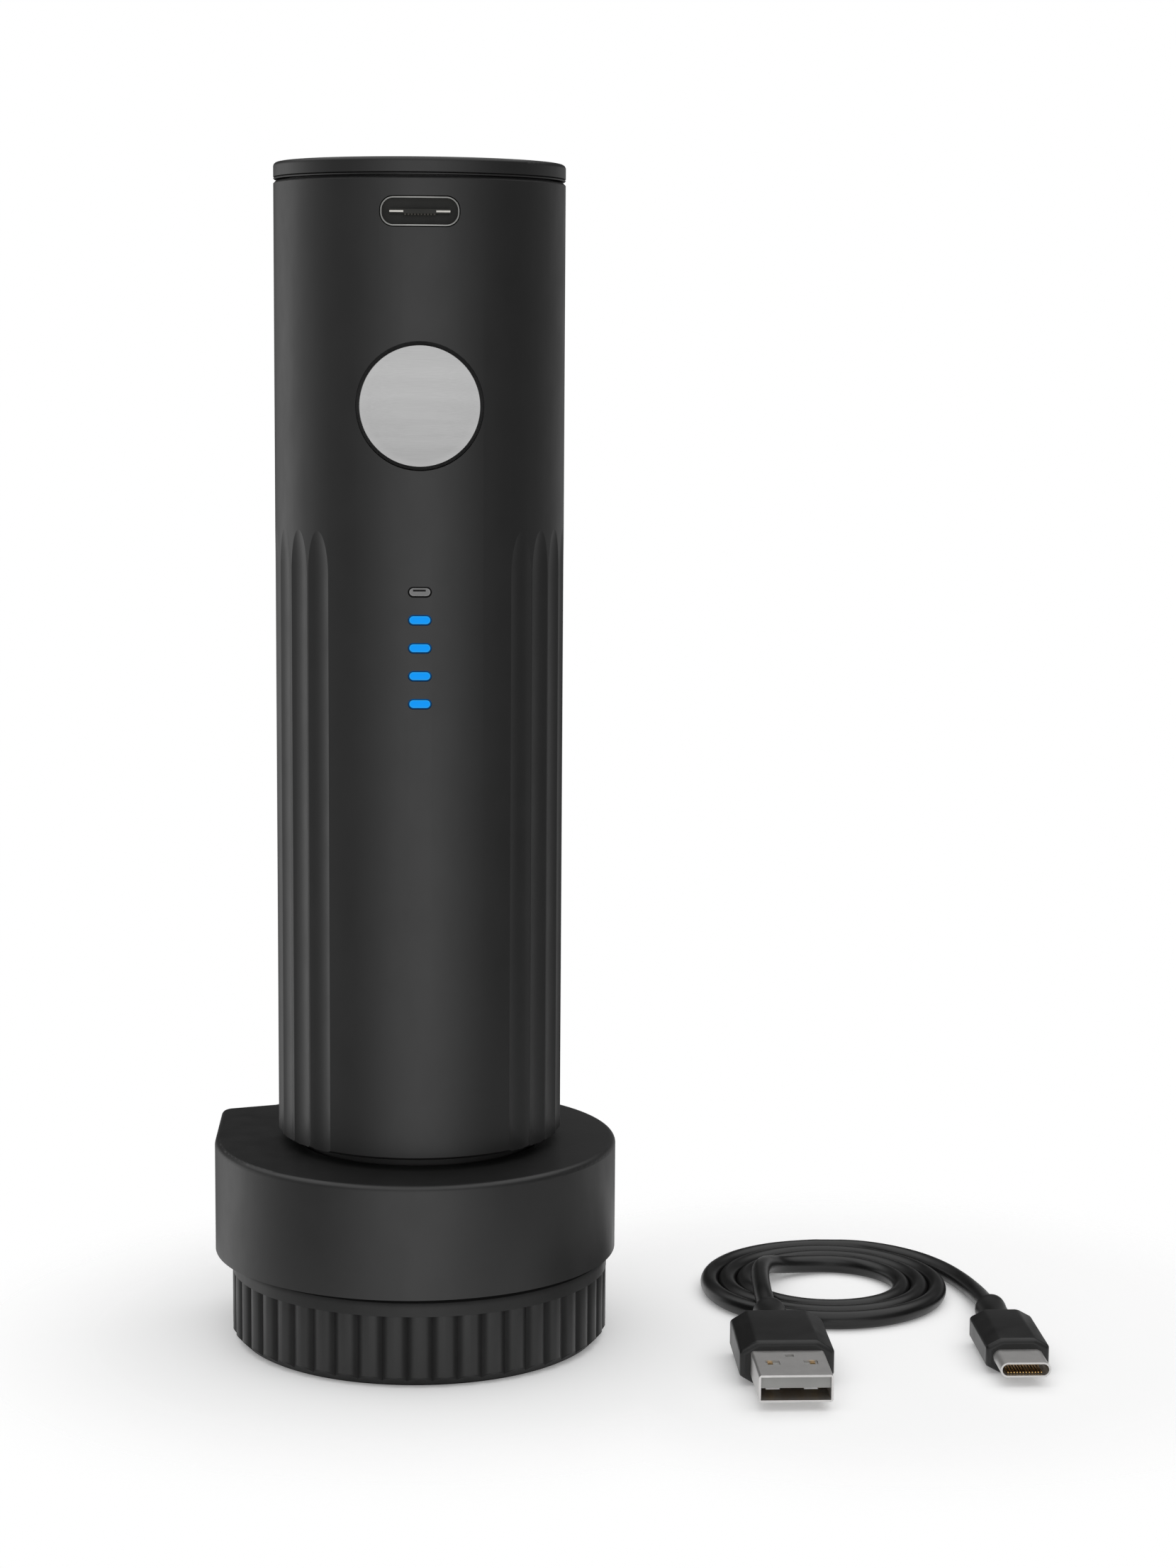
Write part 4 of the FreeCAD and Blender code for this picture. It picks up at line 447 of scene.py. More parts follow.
FINISHES: tuple[Finish, ...] = (
    Moulding("handle_black", grey(0.013), 0.4, 0.03, 0.5, Grain.SATIN),
    # The ring's finish paints highlights on its rib crests and shade in its valleys and at both ends.
    RibbedMoulding("ring_black", grey(0.0095), 0.43, 0.04, 0.42, Grain.SATIN),
    # The sleeve is a lighter black than the shell: painted light on it in the shaded gap under the handle.
    Moulding("sleeve_black", grey(0.03), 0.5, 0.04, 0.5, Grain.SATIN),
    Moulding("foot_rubber", grey(0.004), 0.75, 0.05, 0.15, Grain.COARSE),
    Moulding("inner_grey", (0.07, 0.07, 0.075), 0.5, 0.05, 0.45, Grain.COARSE),
    Moulding("port_dark", (0.014, 0.014, 0.011), 0.4, 0.04, 0.3),
    Moulding("soft_black", grey(0.02), 0.75, 0.05, 0.3, Grain.COARSE, sheen=0.15),
    Moulding("lead_jacket", grey(0.006), 0.32, 0.04, 0.45),
    Moulding("plug_black", grey(0.007), 0.4, 0.04, 0.45, Grain.SATIN),
    Moulding("plug_insulator", (0.3, 0.3, 0.29), 0.45, 0.03, 0.45),
    Moulding("chip_black", (0.02, 0.02, 0.022), 0.5, 0.05, 0.4, Grain.SATIN),
    Moulding("lamp_chip", (0.8, 0.78, 0.62), 0.35, 0.03, 0.5),
    Moulding("wire_red", (0.45, 0.02, 0.015), 0.4),
    Moulding("wire_black", grey(0.015), 0.4),
    BrushedMetal("brushed_cap", grey(0.437)),
    PolishedMetal("worm_steel", (0.62, 0.62, 0.63), 0.14),
    PolishedMetal("machined_steel", (0.5, 0.5, 0.51), 0.3, 0.08),
    PolishedMetal("ground_steel", grey(0.6), 0.22, 0.08),
    PolishedMetal("shell_plate", (0.62, 0.61, 0.6), 0.46),
    PolishedMetal("port_plate", (0.28, 0.28, 0.27)),
    PolishedMetal("contact_tin", (0.46, 0.45, 0.42)),
    PolishedMetal("pin_dark", (0.05, 0.047, 0.042), 0.35),
    PolishedMetal("contact_gold", (0.8, 0.52, 0.2), 0.25),
    PolishedMetal("bush_brass", (0.62, 0.45, 0.2), 0.28, 0.08),
    PolishedMetal("solder_tin", grey(0.62), 0.35, 0.1),
    LampGlass("lamp_blue", (0.0, 0.02, 0.06), (0.0, 0.285, 0.86)),
    LampGlass("lamp_blue_rim", (0.0, 0.02, 0.06), (0.02, 0.33, 0.78)),
    # The foot finishes are painted shade in the gap round each lens; the blue one is tinted by a faint painted blue
    # glow.
    LampGlass("lamp_blue_foot", (0.0, 0.01, 0.03), (0.0, 0.04, 0.13)),
    LampGlass("lamp_grey", grey(0.23)),
    # The off lamp's rim is a lighter grey than its face: a painted highlight on the sloping rim.
    LampGlass("lamp_grey_rim", grey(0.31)),
    LampGlass("lamp_grey_foot", grey(0.01)),
    BoardMask("solder_mask", (0.012, 0.09, 0.035)),
    ShrinkWrap("cell_wrap", (0.02, 0.09, 0.3)),
    PaleFloor("pale_floor", grey(0.93)),
)


class Finishes(dict):
    """Materials of the finishes by name, made once and shared."""

    def __init__(self) -> None:
        """Make the materials."""
        super().__init__()
        for finish in FINISHES:
            recipe = Recipe(finish.name)
            finish.mix(recipe)
            self[finish.name] = recipe.material


# -------- mesh helpers
def dress(obj: Piece, material: Material, crease: float) -> None:
    """Give an object one material and smooth a mesh's round faces.

    A new mesh without materials keeps the material numbers of its faces.

    Args:
        obj: Mesh or curve object.
        material: Its material.
        crease: Angle in degrees above which an edge stays sharp.
    """
    data = obj.data
    if data.materials:
        data.materials.clear()
    data.materials.append(material)
    if obj.type == "MESH":
        data.polygons.foreach_set("use_smooth", [True] * len(data.polygons))
        data.set_sharp_from_angle(angle=math.radians(crease))


def placed(name: str, data: bpy.types.ID) -> Piece:
    """Object of the scene that shows a mesh, curve or camera."""
    bpy.context.scene.collection.objects.link(obj := bpy.data.objects.new(name, data))
    return obj


def finished(name: str, work: bmesh.types.BMesh) -> Piece:
    """Object of a mesh whose making is over.

    Args:
        name: Its name.
        work: The mesh, which is used up.

    Returns:
        The new object.
    """
    mesh = bpy.data.meshes.new(name)
    work.to_mesh(mesh)
    work.free()
    return placed(name, mesh)


def new_mesh(name: str, points: Sequence[Vector], faces: Sequence[Sequence[int]], weld: float = 0.0) -> Piece:
    """Object from points and faces, its normals pointing outward.

    Args:
        name: Its name.
        points: Corner points.
        faces: Faces as rows of corner numbers.
        weld: Points that are nearer than this become one.

    Returns:
        The new object.
    """
    work = bmesh.new()
    corners = [work.verts.new(point) for point in points]
    for face in faces:
        work.faces.new([corners[k] for k in face])
    if weld:
        bmesh.ops.remove_doubles(work, verts=work.verts, dist=weld)
    bmesh.ops.recalc_face_normals(work, faces=work.faces)
    return finished(name, work)


def lathe(name: str, profile: Stops, frame: Matrix, steps: int) -> Piece:
    """Body of revolution, closed along its whole profile.

    Args:
        name: Its name.
        profile: (radius, height) corners in order; the first and last lie on the axis or meet.
        frame: Places the lathe's Z axis in the model.
        steps: Faces round the axis.

    Returns:
        The new object.
    """
    points, faces = [], []
    size = len(profile)
    for step in range(steps):
        turn = Matrix.Rotation(2 * math.pi * step / steps, 4, "Z")
        points += [frame @ turn @ Vector((r, 0.0, z)) for r, z in profile]
        here, there = step * size, (step + 1) % steps * size
        faces += [(here + k, there + k, there + k + 1, here + k + 1) for k in range(size - 1)]
    return new_mesh(name, points, faces, 1e-7)


def loft(name: str, rings: Sequence[Sequence[Vector]]) -> Piece:
    """Closed skin through rings of equal point counts, capped at both ends.

    Args:
        name: Its name.
        rings: Rings of points, in order.

    Returns:
        The new object.
    """
    size = len(rings[0])
    points = [p for ring in rings for p in ring]
    faces = [range(size), range((len(rings) - 1) * size, len(rings) * size)]
    for row in range(0, (len(rings) - 1) * size, size):
        for k in range(size):
            after = (k + 1) % size
            faces.append((row + k, row + after, row + size + after, row + size + k))
    return new_mesh(name, points, faces)


def rounded_box(low: Point, high: Point, radius: float, name: str = "block", segments: int = 2) -> Piece:
    """Box with softened edges.

    Args:
        low: Lowest corner.
        high: Highest corner.
        radius: Radius of the edges.
        name: Its name.
        segments: Faces across an edge.

    Returns:
        The new object.
    """
    work = bmesh.new()
    bmesh.ops.create_cube(work, size=1.0)
    low, high = Vector(low), Vector(high)
    size, middle = high - low, (high + low) / 2
    for vert in work.verts:
        vert.co = vert.co * size + middle
    bmesh.ops.bevel(work, geom=work.edges[:], offset=radius, segments=segments, affect="EDGES", profile=0.5)
    return finished(name, work)


def joined(name: str, parts: Sequence[Piece]) -> Piece:
    """One object out of several meshes.

    Args:
        name: Its name.
        parts: Mesh objects, which are used up.

    Returns:
        The joined object.
    """
    work = bmesh.new()
    for part in parts:
        work.from_mesh(part.data)
        bpy.data.objects.remove(part)
    return finished(name, work)


def strand(name: str, points: Sequence[Point], diameter: float, sides: int) -> Piece:
    """Round strand along a smooth open line.

    Args:
        name: Its name.
        points: Control points of its line.
        diameter: Its thickness.
        sides: Half the number of faces round it.

    Returns:
        The curve object.
    """
    curve = bpy.data.curves.new(name, "CURVE")
    curve.dimensions = "3D"
    curve.bevel_depth = diameter / 2
    curve.bevel_resolution = sides
    curve.resolution_u = 6
    curve.use_fill_caps = True
    line = curve.splines.new("NURBS")
    line.points.add(len(points) - 1)
    for point, where in zip(line.points, points):
        point.co = (*where, 1.0)
    line.order_u = 3
    line.use_endpoint_u = True
    line.use_smooth = True
    return placed(name, curve)


def swept(name: str, path: Sequence[Vector], radii: Sequence[float], sides: int = 20) -> Piece:
    """Round bar of changing thickness along a smooth line, closed at both ends.

    Args:
        name: Its name.
        path: Points of its middle line.
        radii: Its radius at each point.
        sides: Faces round it.

    Returns:
        The new object.
    """
    rings = []
    across = Vector((1.0, 0.0, 0.0))
    for k, (centre, radius) in enumerate(zip(path, radii)):
        along = (path[min(k + 1, len(path) - 1)] - path[max(k - 1, 0)]).normalized()
        across = (across - across.dot(along) * along).normalized()
        other = along.cross(across)
        turns = [2 * math.pi * step / sides for step in range(sides)]
        rings.append([centre + radius * (math.cos(a) * across + math.sin(a) * other) for a in turns])
    return loft(name, rings)


def on_circle(radius: float, turn: float, height: float = 0.0) -> Vector:
    """Point at a radius, a turn round the opener's axis and a height."""
    return Vector((radius * math.cos(2 * math.pi * turn), radius * math.sin(2 * math.pi * turn), height))


def eased(share: float) -> float:
    """Share from 0 to 1 with a soft start and a soft end."""
    share = min(1.0, max(0.0, share))
    return share * share * (3 - 2 * share)


@dataclass
class Assembly:
    """What every sub-assembly shares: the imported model, the finishes and how pieces are added."""

    frame: dict
    finishes: Finishes
    looks: Looks = ()
    fluted: tuple[str, ...] = ("handle_shell", "cutter_ring")
    fluted_crease: float = 24.0

    def build(self) -> None:
        """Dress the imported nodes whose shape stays: each row of looks is a finish and its nodes."""
        for finish, *nodes in self.looks:
            for node in nodes:
                crease = self.fluted_crease if node in self.fluted else CREASE
                dress(self.frame["nodes"][node], self.finishes[finish], crease)
                LOG.info("%s gets %s", node, finish)

    def add(self, piece: Piece, finish: str, body: Body, slot: str, *stands_for: str, crease: float = CREASE) -> Piece:
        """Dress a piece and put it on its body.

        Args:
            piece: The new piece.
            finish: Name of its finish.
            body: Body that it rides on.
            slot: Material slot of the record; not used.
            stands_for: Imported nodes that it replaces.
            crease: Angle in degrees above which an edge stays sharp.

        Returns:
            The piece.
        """
        dress(piece, self.finishes[finish], crease)
        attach(piece, body.value)
        if stands_for:
            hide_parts(*stands_for)
        LOG.info("%s rides on %s", piece.name, body.value)
        return piece


# -------- sub-assemblies
@dataclass(frozen=True)
class Plug:
    """Moulded body of one plug and the sleeve behind it."""

    name: str
    width: float
    thickness: float
    length: float
    flat: float
    sleeve_radius: float
    sleeve_length: float
    softness: float = 0.5 * MM
    edge: float = 0.55 * MM
    collar: float = 0.35 * MM
    waist: float = 0.12 * MM

    def sleeve(self, start: Vector, bore: float) -> Piece:
        """Moulded sleeve with a rounded collar at its lead end.

        Args:
            start: Middle of the lead end.
            bore: Radius of its bore.

        Returns:
            The new object.
        """
        r, long, soft = self.sleeve_radius, self.sleeve_length, self.collar
        slim = r - self.waist
        profile = [(bore, 0.0), (r - soft, 0.0), (r - soft * 0.3, soft * 0.3), (r, soft), (r, long * 0.14),
                   (slim, long * 0.2), (slim, long * 0.8), (r, long), (bore, long), (bore, 0.0)]
        frame = Matrix.Translation(start) @ Matrix.Rotation(math.pi / 2, 4, "X")
        return lathe(self.name + "_sleeve", profile, frame, 40)

    def moulding(self, back: Vector) -> Piece:
        """Body that is flat on top, with falling sides and soft ends.

        Args:
            back: Middle of the face that the sleeve meets.

        Returns:
            The new object.
        """
        half, tall, flat, soft = self.width / 2, self.thickness / 2, self.flat / 2, self.softness
        side = tall * 0.55
        outline = [(-half, -side), (-flat, -tall), (flat, -tall), (half, -side),
                   (half, side), (flat, tall), (-flat, tall), (-half, side)]
        rings = []
        for shrink, along in ((soft, 0.0), (0.0, soft), (0.0, self.length - soft), (soft, self.length)):
            fx, fz = 1 - shrink / half, 1 - shrink / tall
            rings.append([back + Vector((x * fx, -along, z * fz)) for x, z in outline])
        body = loft(self.name + "_moulding", rings)
        soften = body.modifiers.new("soft_edges", "BEVEL")
        soften.width = self.edge
        soften.segments = 4
        soften.limit_method = "ANGLE"
        soften.angle_limit = math.radians(15)
        return body


@dataclass
class ChargingLead(Assembly):
    """The lead with both plugs, lying on the table."""

    looks: Looks = (("shell_plate", "plug_a_shell", "plug_c_shell"), ("plug_insulator", "plug_a_tongue"))
    diameter: float = 3.2 * MM
    length: float = 0.43
    coil_x: float = 73.1 * MM
    coil_y: float = 19.1 * MM
    squash: float = 0.955
    first_radius: float = 13.1 * MM
    pitch: float = 3.4 * MM
    turns: int = 3
    points_per_turn: int = 18
    rest: float = 1.65 * MM
    sink: float = 0.4 * MM
    route_in: tuple[Spot, ...] = (
        (-13.1, -24.0, 3.85), (-13.4, -18.2, 4.9), (-13.2, -12.2, 5.05), (-12.8, -5.9, 5.05),
        (-12.0, 0.2, 4.9), (-10.3, 5.6, 3.9), (-7.5, 10.0, 2.4))
    route_out: tuple[Spot, ...] = (
        (2.0, 23.1, 1.65), (7.9, 22.9, 1.65), (13.6, 19.9, 1.65), (18.5, 15.1, 1.65), (22.0, 9.0, 1.65),
        (24.3, 2.2, 1.65), (25.6, -5.0, 1.75), (26.0, -12.6, 2.4), (25.9, -20.2, 3.05))
    plug_a: Plug = Plug("plug_a", 15.6 * MM, 7.6 * MM, 17.8 * MM, 10.0 * MM, 2.9 * MM, 10.2 * MM)
    plug_c: Plug = Plug("plug_c", 10.6 * MM, 6.0 * MM, 17.2 * MM, 5.6 * MM, 2.7 * MM, 9.5 * MM)
    window_x: float = 3.45 * MM
    pins: int = 12
    pin_pitch: float = 0.5 * MM
    pin_rise: float = 0.72 * MM

    def spot(self, point: Spot) -> Vector:
        """Model position of a point given in millimetres from the coil's middle."""
        return Vector((self.coil_x + point[0] * MM, self.coil_y + point[1] * MM, point[2] * MM))

    def coil_points(self) -> list[Vector]:
        """Points of the coil's turns, clockwise seen from above.

        Returns:
            Control points from the innermost turn to the outermost.
        """
        points = []
        for step in range(self.turns * self.points_per_turn + 1):
            turns = step / self.points_per_turn
            angle = math.pi / 2 - 2 * math.pi * turns
            radius = self.first_radius + self.pitch * turns
            x, y = self.squash * radius * math.cos(angle), radius * math.sin(angle)
            points.append(Vector((self.coil_x + x, self.coil_y + y, self.rest)))
        return points

    def build(self) -> None:
        """Make the lead, its sleeves and its plugs."""
        super().build()
        points = [self.spot(p) for p in self.route_in] + self.coil_points() + [self.spot(p) for p in self.route_out]
        lead = self.add(strand("lead", points, self.diameter, 10), "lead_jacket", Body.BASE, "lead_black",
                        "lead_coil", "lead_to_plug_a", "lead_to_plug_c")
        for plug, end in ((self.plug_a, points[0]), (self.plug_c, points[-1])):
            mouth = end + Vector((0.0, self.sink, 0.0))
            back = mouth - Vector((0.0, plug.sleeve_length, 0.0))
            for piece, part in ((plug.sleeve(mouth, self.diameter / 2), "_relief"), (plug.moulding(back), "_body")):
                self.add(piece, "plug_black", Body.BASE, "lead_black", plug.name + part)
        for name, bars in self.contacts().items():
            self.add(joined(name, bars), "contact_gold", Body.BASE, "plated")

    def contacts(self) -> dict[str, list[Piece]]:
        """Contacts under the A plug's insulator and in its shell's windows, and the C plug's two rows of pins.

        Returns:
            The new objects, by the name of the piece that they become.
        """
        low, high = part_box("plug_a_tongue")
        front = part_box("plug_a_body")[0].y
        strips, pins = [], []
        for k, side in enumerate((-1, 0, 0, 1)):
            x = low.x + (high.x - low.x) * (0.17 + 0.22 * k)
            corner = (x - 0.55 * MM, low.y + 0.3 * MM, low.z - 0.12 * MM)
            strips.append(rounded_box(corner, (x + 0.55 * MM, high.y - 1.5 * MM, low.z + 0.02 * MM), 0.04 * MM))
            if side:
                x = (low.x + high.x) / 2 + side * self.window_x
                corner = (x - 0.42 * MM, front - 7.1 * MM, high.z - 0.05 * MM)
                strips.append(rounded_box(corner, (x + 0.42 * MM, front - 5.1 * MM, high.z + 0.15 * MM), 0.05 * MM))
        low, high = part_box("plug_c_shell")
        middle = (low + high) / 2
        for z in (middle.z - self.pin_rise, middle.z + self.pin_rise):
            for k in range(self.pins):
                x = middle.x + (k - (self.pins - 1) / 2) * self.pin_pitch
                corner = (x - 0.12 * MM, low.y + 0.9 * MM, z - 0.1 * MM)
                pins.append(rounded_box(corner, (x + 0.12 * MM, high.y - 0.9 * MM, z + 0.1 * MM), 0.03 * MM))
        return {"plug_a_contacts": strips, "plug_c_pins": pins}


@dataclass
class Stand(Assembly):
    """Collar with the socket, retaining plate and seat."""

    looks: Looks = (("handle_black", "base_collar"), ("inner_grey", "retaining_plate"), ("soft_black", "seat_pad"),
                    ("machined_steel", "plate_screws"))


@dataclass
class FoilCutter(Assembly):
    """Ribbed ring with the wheel carrier, the four wheels and the foot."""

    looks: Looks = (("ring_black", "cutter_ring"), ("inner_grey", "wheel_carrier"), ("foot_rubber", "foot_pad"),
                    ("machined_steel", "wheel_pins"),
                    ("ground_steel", "cutting_wheel_1", "cutting_wheel_2", "cutting_wheel_3", "cutting_wheel_4"))


@dataclass
class Handle(Assembly):
    """Shell, lid, neck sleeve, seal and inner frame."""

    looks: Looks = (("handle_black", "handle_shell", "top_lid"), ("sleeve_black", "neck_sleeve"),
                    ("inner_grey", "chassis"), ("soft_black", "nose_seal"))


@dataclass
class PowerButton(Assembly):
    """Round button and what it presses."""

    looks: Looks = (("handle_black", "button_body"), ("inner_grey", "switch_plunger"), ("chip_black", "switch_housing"))
    dish: float = 0.45 * MM
    edge: float = 0.22 * MM
    inset: float = 0.16 * MM
    rings: int = 10

    def build(self) -> None:
        """Turn the button's slightly dished cap."""
        super().build()
        low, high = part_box("button_cap")
        radius, depth = (high.x - low.x) / 2 - self.inset, high.y - low.y
        profile = [(0.0, 0.0), (radius, 0.0), (radius, depth - self.edge), (radius - self.edge * 0.3, depth)]
        for k in range(self.rings + 1):
            share = 1 - k / self.rings
            profile.append(((radius - self.edge) * share, depth - self.dish * (1 - share * share)))
        frame = Matrix.Translation(((low.x + high.x) / 2, high.y, (low.z + high.z) / 2))
        cap = lathe("dished_cap", profile, frame @ Matrix.Rotation(math.pi / 2, 4, "X"), 120)
        self.add(cap, "brushed_cap", Body.BUTTON, "brushed_cap", "button_cap", crease=20.0)


@dataclass
class ChargingPort(Assembly):
    """Metal mouth, tongue and contacts of the port, and the can of its socket."""

    looks: Looks = (("port_plate", "port_rim"), ("contact_tin", "port_contacts"), ("port_dark", "port_insert"))
    pin_reach: float = 2.7 * MM
    can_half: Spot = (4.5 * MM, 0.0, 1.6 * MM)

    def build(self) -> None:
        """Darken the inner contacts and set the socket's can on the board behind the mouth."""
        super().build()
        mesh = self.frame["nodes"]["port_contacts"].data
        mesh.materials.append(self.finishes["pin_dark"])
        for face in mesh.polygons:
            face.material_index = 1 if abs(face.center.x) < self.pin_reach else 0
        low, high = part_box("port_insert")
        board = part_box("circuit_board")[0].y
        middle = (low + high) / 2
        half = Vector(self.can_half)
        can = rounded_box(Vector((middle.x, high.y, middle.z)) - half, Vector((middle.x, board, middle.z)) + half,
                          0.5 * MM, "socket_can", 3)
        self.add(can, "shell_plate", Body.HANDLE, "plated")


@dataclass
class Lamps(Assembly):
    """Lenses under the button, measured from their windows, and the light sources behind them."""

    looks: Looks = (("lamp_chip", "led_chips"),)
    handle_radius: float = 24.0 * MM
    sink: float = 0.13 * MM
    line: float = 0.22 * MM
    rim: float = 0.14 * MM
    slope: float = 0.05 * MM
    step: float = 0.6 * MM
    steps: int = 9

    def outline(self, low: Vector, high: Vector, inset: float, depth: float | None) -> list[Vector]:
        """Points round a slot with round ends, on the handle's curve or on a flat.

        Args:
            low: Lowest corner of the lens.
            high: Highest corner of the lens.
            inset: How far the outline lies inside the lens's own.
            depth: Depth below the handle's curve; a flat at the lens's back if None.

        Returns:
            The points in order.
        """
        middle = (low + high) / 2
        radius = (high.z - low.z) / 2 - inset
        half = (high.x - low.x) / 2 - inset - radius
        points = []
        for side in (1, -1):
            for step in range(self.steps + 1):
                angle = math.pi * (step / self.steps - 0.5)
                x = middle.x + side * (half + radius * math.cos(angle))
                y = high.y if depth is None else -math.sqrt((self.handle_radius - depth) ** 2 - x * x)
                points.append(Vector((x, y, middle.z + side * radius * math.sin(angle))))
        return points

    def lens(self, low: Vector, high: Vector) -> Piece:
        """One lens: a bright face, a sloping rim and, behind it, the foot, dark with painted shade.

        Args:
            low: Lowest corner of the lens.
            high: Highest corner of the lens.

        Returns:
            The new object; its rim has the second material and its sides and foot the third.
        """
        levels = ((self.line + self.rim, self.sink), (self.line, self.sink + self.slope), (self.line, self.step),
                  (0.0, self.step), (0.0, None))
        rings = [self.outline(low, high, inset, depth) for inset, depth in levels]
        lens = loft("lens", rings)
        # The sides and the foot take the third finish, which paints shade into the gap round the lens.
        for face in lens.data.polygons[1:]:
            face.material_index = 1 if 2 <= face.index < 2 + len(rings[0]) else 2
        return lens

    def group(self, name: str, node: str, height: float, count: int) -> None:
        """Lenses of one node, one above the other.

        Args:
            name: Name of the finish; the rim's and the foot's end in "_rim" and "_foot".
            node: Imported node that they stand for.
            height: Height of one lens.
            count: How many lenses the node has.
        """
        low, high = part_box(node)
        pitch = (high.z - low.z - height) / max(1, count - 1)
        bases = [low.z + pitch * k for k in range(count)]
        made = [self.lens(Vector((low.x, low.y, z)), Vector((high.x, high.y, z + height))) for z in bases]
        lenses = self.add(joined(node + "_lenses", made), name, Body.HANDLE, name, node, crease=25.0)
        for part in ("_rim", "_foot"):
            lenses.data.materials.append(self.finishes[name + part])

    def build(self) -> None:
        """Make the lenses and the chip's shadow in the charge lamp."""
        super().build()
        low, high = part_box("charge_lamp")
        height = high.z - low.z
        self.group("lamp_grey", "charge_lamp", height, 1)
        self.group("lamp_blue", "level_lamps", height, 4)
        middle = (low + high) / 2
        front = -self.handle_radius + self.sink
        bar = rounded_box((middle.x - 1.1 * MM, front - 0.005 * MM, middle.z + 0.09 * MM),
                          (middle.x + 0.95 * MM, front + 0.1 * MM, middle.z + 0.4 * MM), 0.045 * MM, "chip_shadow")
        self.add(bar, "lamp_grey_foot", Body.HANDLE, "lamp_grey")


@dataclass
class Drive(Assembly):
    """Motor, gearbox and worm."""

    looks: Looks = (("inner_grey", "gear_case", "gear_cover", "worm_holder"),
                    ("machined_steel", "motor_can", "motor_shaft", "sun_gear", "planet_pins", "output_shaft",
                     "holder_pin", "thrust_washer", "drive_screws", "motor_screws", "planet_gear_1",
                     "planet_gear_2", "planet_gear_3"),
                    ("bush_brass", "output_bush", "motor_terminals"))
    wire: float = 1.35 * MM
    coil: float = 3.4 * MM
    pitch: float = 9.5 * MM
    point_turns: float = 0.6
    tip: float = 0.3 * MM
    shank: float = 5.0 * MM
    steps_per_turn: int = 28
    neck_steps: int = 14
    neck_turns: float = 0.22
    cap_profile: Stops = ((3.9, 0.0), (8.6, 0.0), (8.6, 0.5), (8.2, 0.9), (4.4, 0.9), (3.9, 0.5), (3.9, 0.0))
    tab: Spot = (2.0 * MM, 1.2 * MM, 0.35 * MM)
    tab_reach: float = 10.2 * MM

    def build(self) -> None:
        """Make the worm and the motor's rear end."""
        super().build()
        self.worm()
        self.motor_end()

    def worm(self) -> None:
        """Bend the worm: a fine point, the open helix and a neck that runs into the holder."""
        low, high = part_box("worm")
        start, top = low.z + self.tip, high.z - self.shank
        neck = top - self.coil - self.wire
        turns = (neck - start) / self.pitch
        steps = int(turns * self.steps_per_turn)
        point = self.tip * 0.35
        path, radii = [], []
        for step in range(steps + 1):
            turn = turns * step / steps
            path.append(on_circle(self.coil, turn, start + self.pitch * turn))
            radii.append(point + (self.wire - point) * (eased(0.5 + 0.5 * turn / self.point_turns) * 2 - 1))
        for step in range(1, self.neck_steps + 1):
            share = step / self.neck_steps
            rise = neck + (top - neck) * (share * 0.6 + eased(share) * 0.4)
            path.append(on_circle(self.coil * (1 - eased(share)), turns + self.neck_turns * share, rise))
        path.append(Vector((0.0, 0.0, high.z)))
        radii += [self.wire] * (self.neck_steps + 1)
        self.add(swept("bent_worm", path, radii), "worm_steel", Body.SCREW, "worm_steel", "worm", crease=60.0)

    def motor_end(self) -> None:
        """Moulded rear cap of the motor, and the tabs that hold it to the can."""
        low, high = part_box("motor_can")
        centre = Vector(((low.x + high.x) / 2, (low.y + high.y) / 2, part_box("motor_terminals")[0].z))
        parts = []
        for side in (-1, 1):
            spot = centre + Vector((0.0, side * self.tab_reach, 0.0))
            x, y, z = self.tab
            parts.append(rounded_box(spot - Vector((x, y, 0.0)), spot + Vector((x, y, z)), 0.15 * MM))
        profile = [(r * MM, z * MM) for r, z in self.cap_profile]
        parts.append(lathe("motor_cap", profile, Matrix.Translation(centre), 56))
        self.add(joined("motor_rear_cap", parts), "chip_black", Body.HANDLE, "inner_plastic")


class Part(Enum):
    """Small parts of the board: width, length and height in millimetres."""

    CONTROLLER = (5.0, 5.0, 0.9)
    DRIVER = (4.9, 3.9, 1.4)
    CHARGER = (3.0, 3.0, 0.8)
    COIL = (5.0, 5.0, 2.6)
    CAPACITOR = (1.6, 0.8, 0.8)
    RESISTOR = (1.0, 0.5, 0.4)


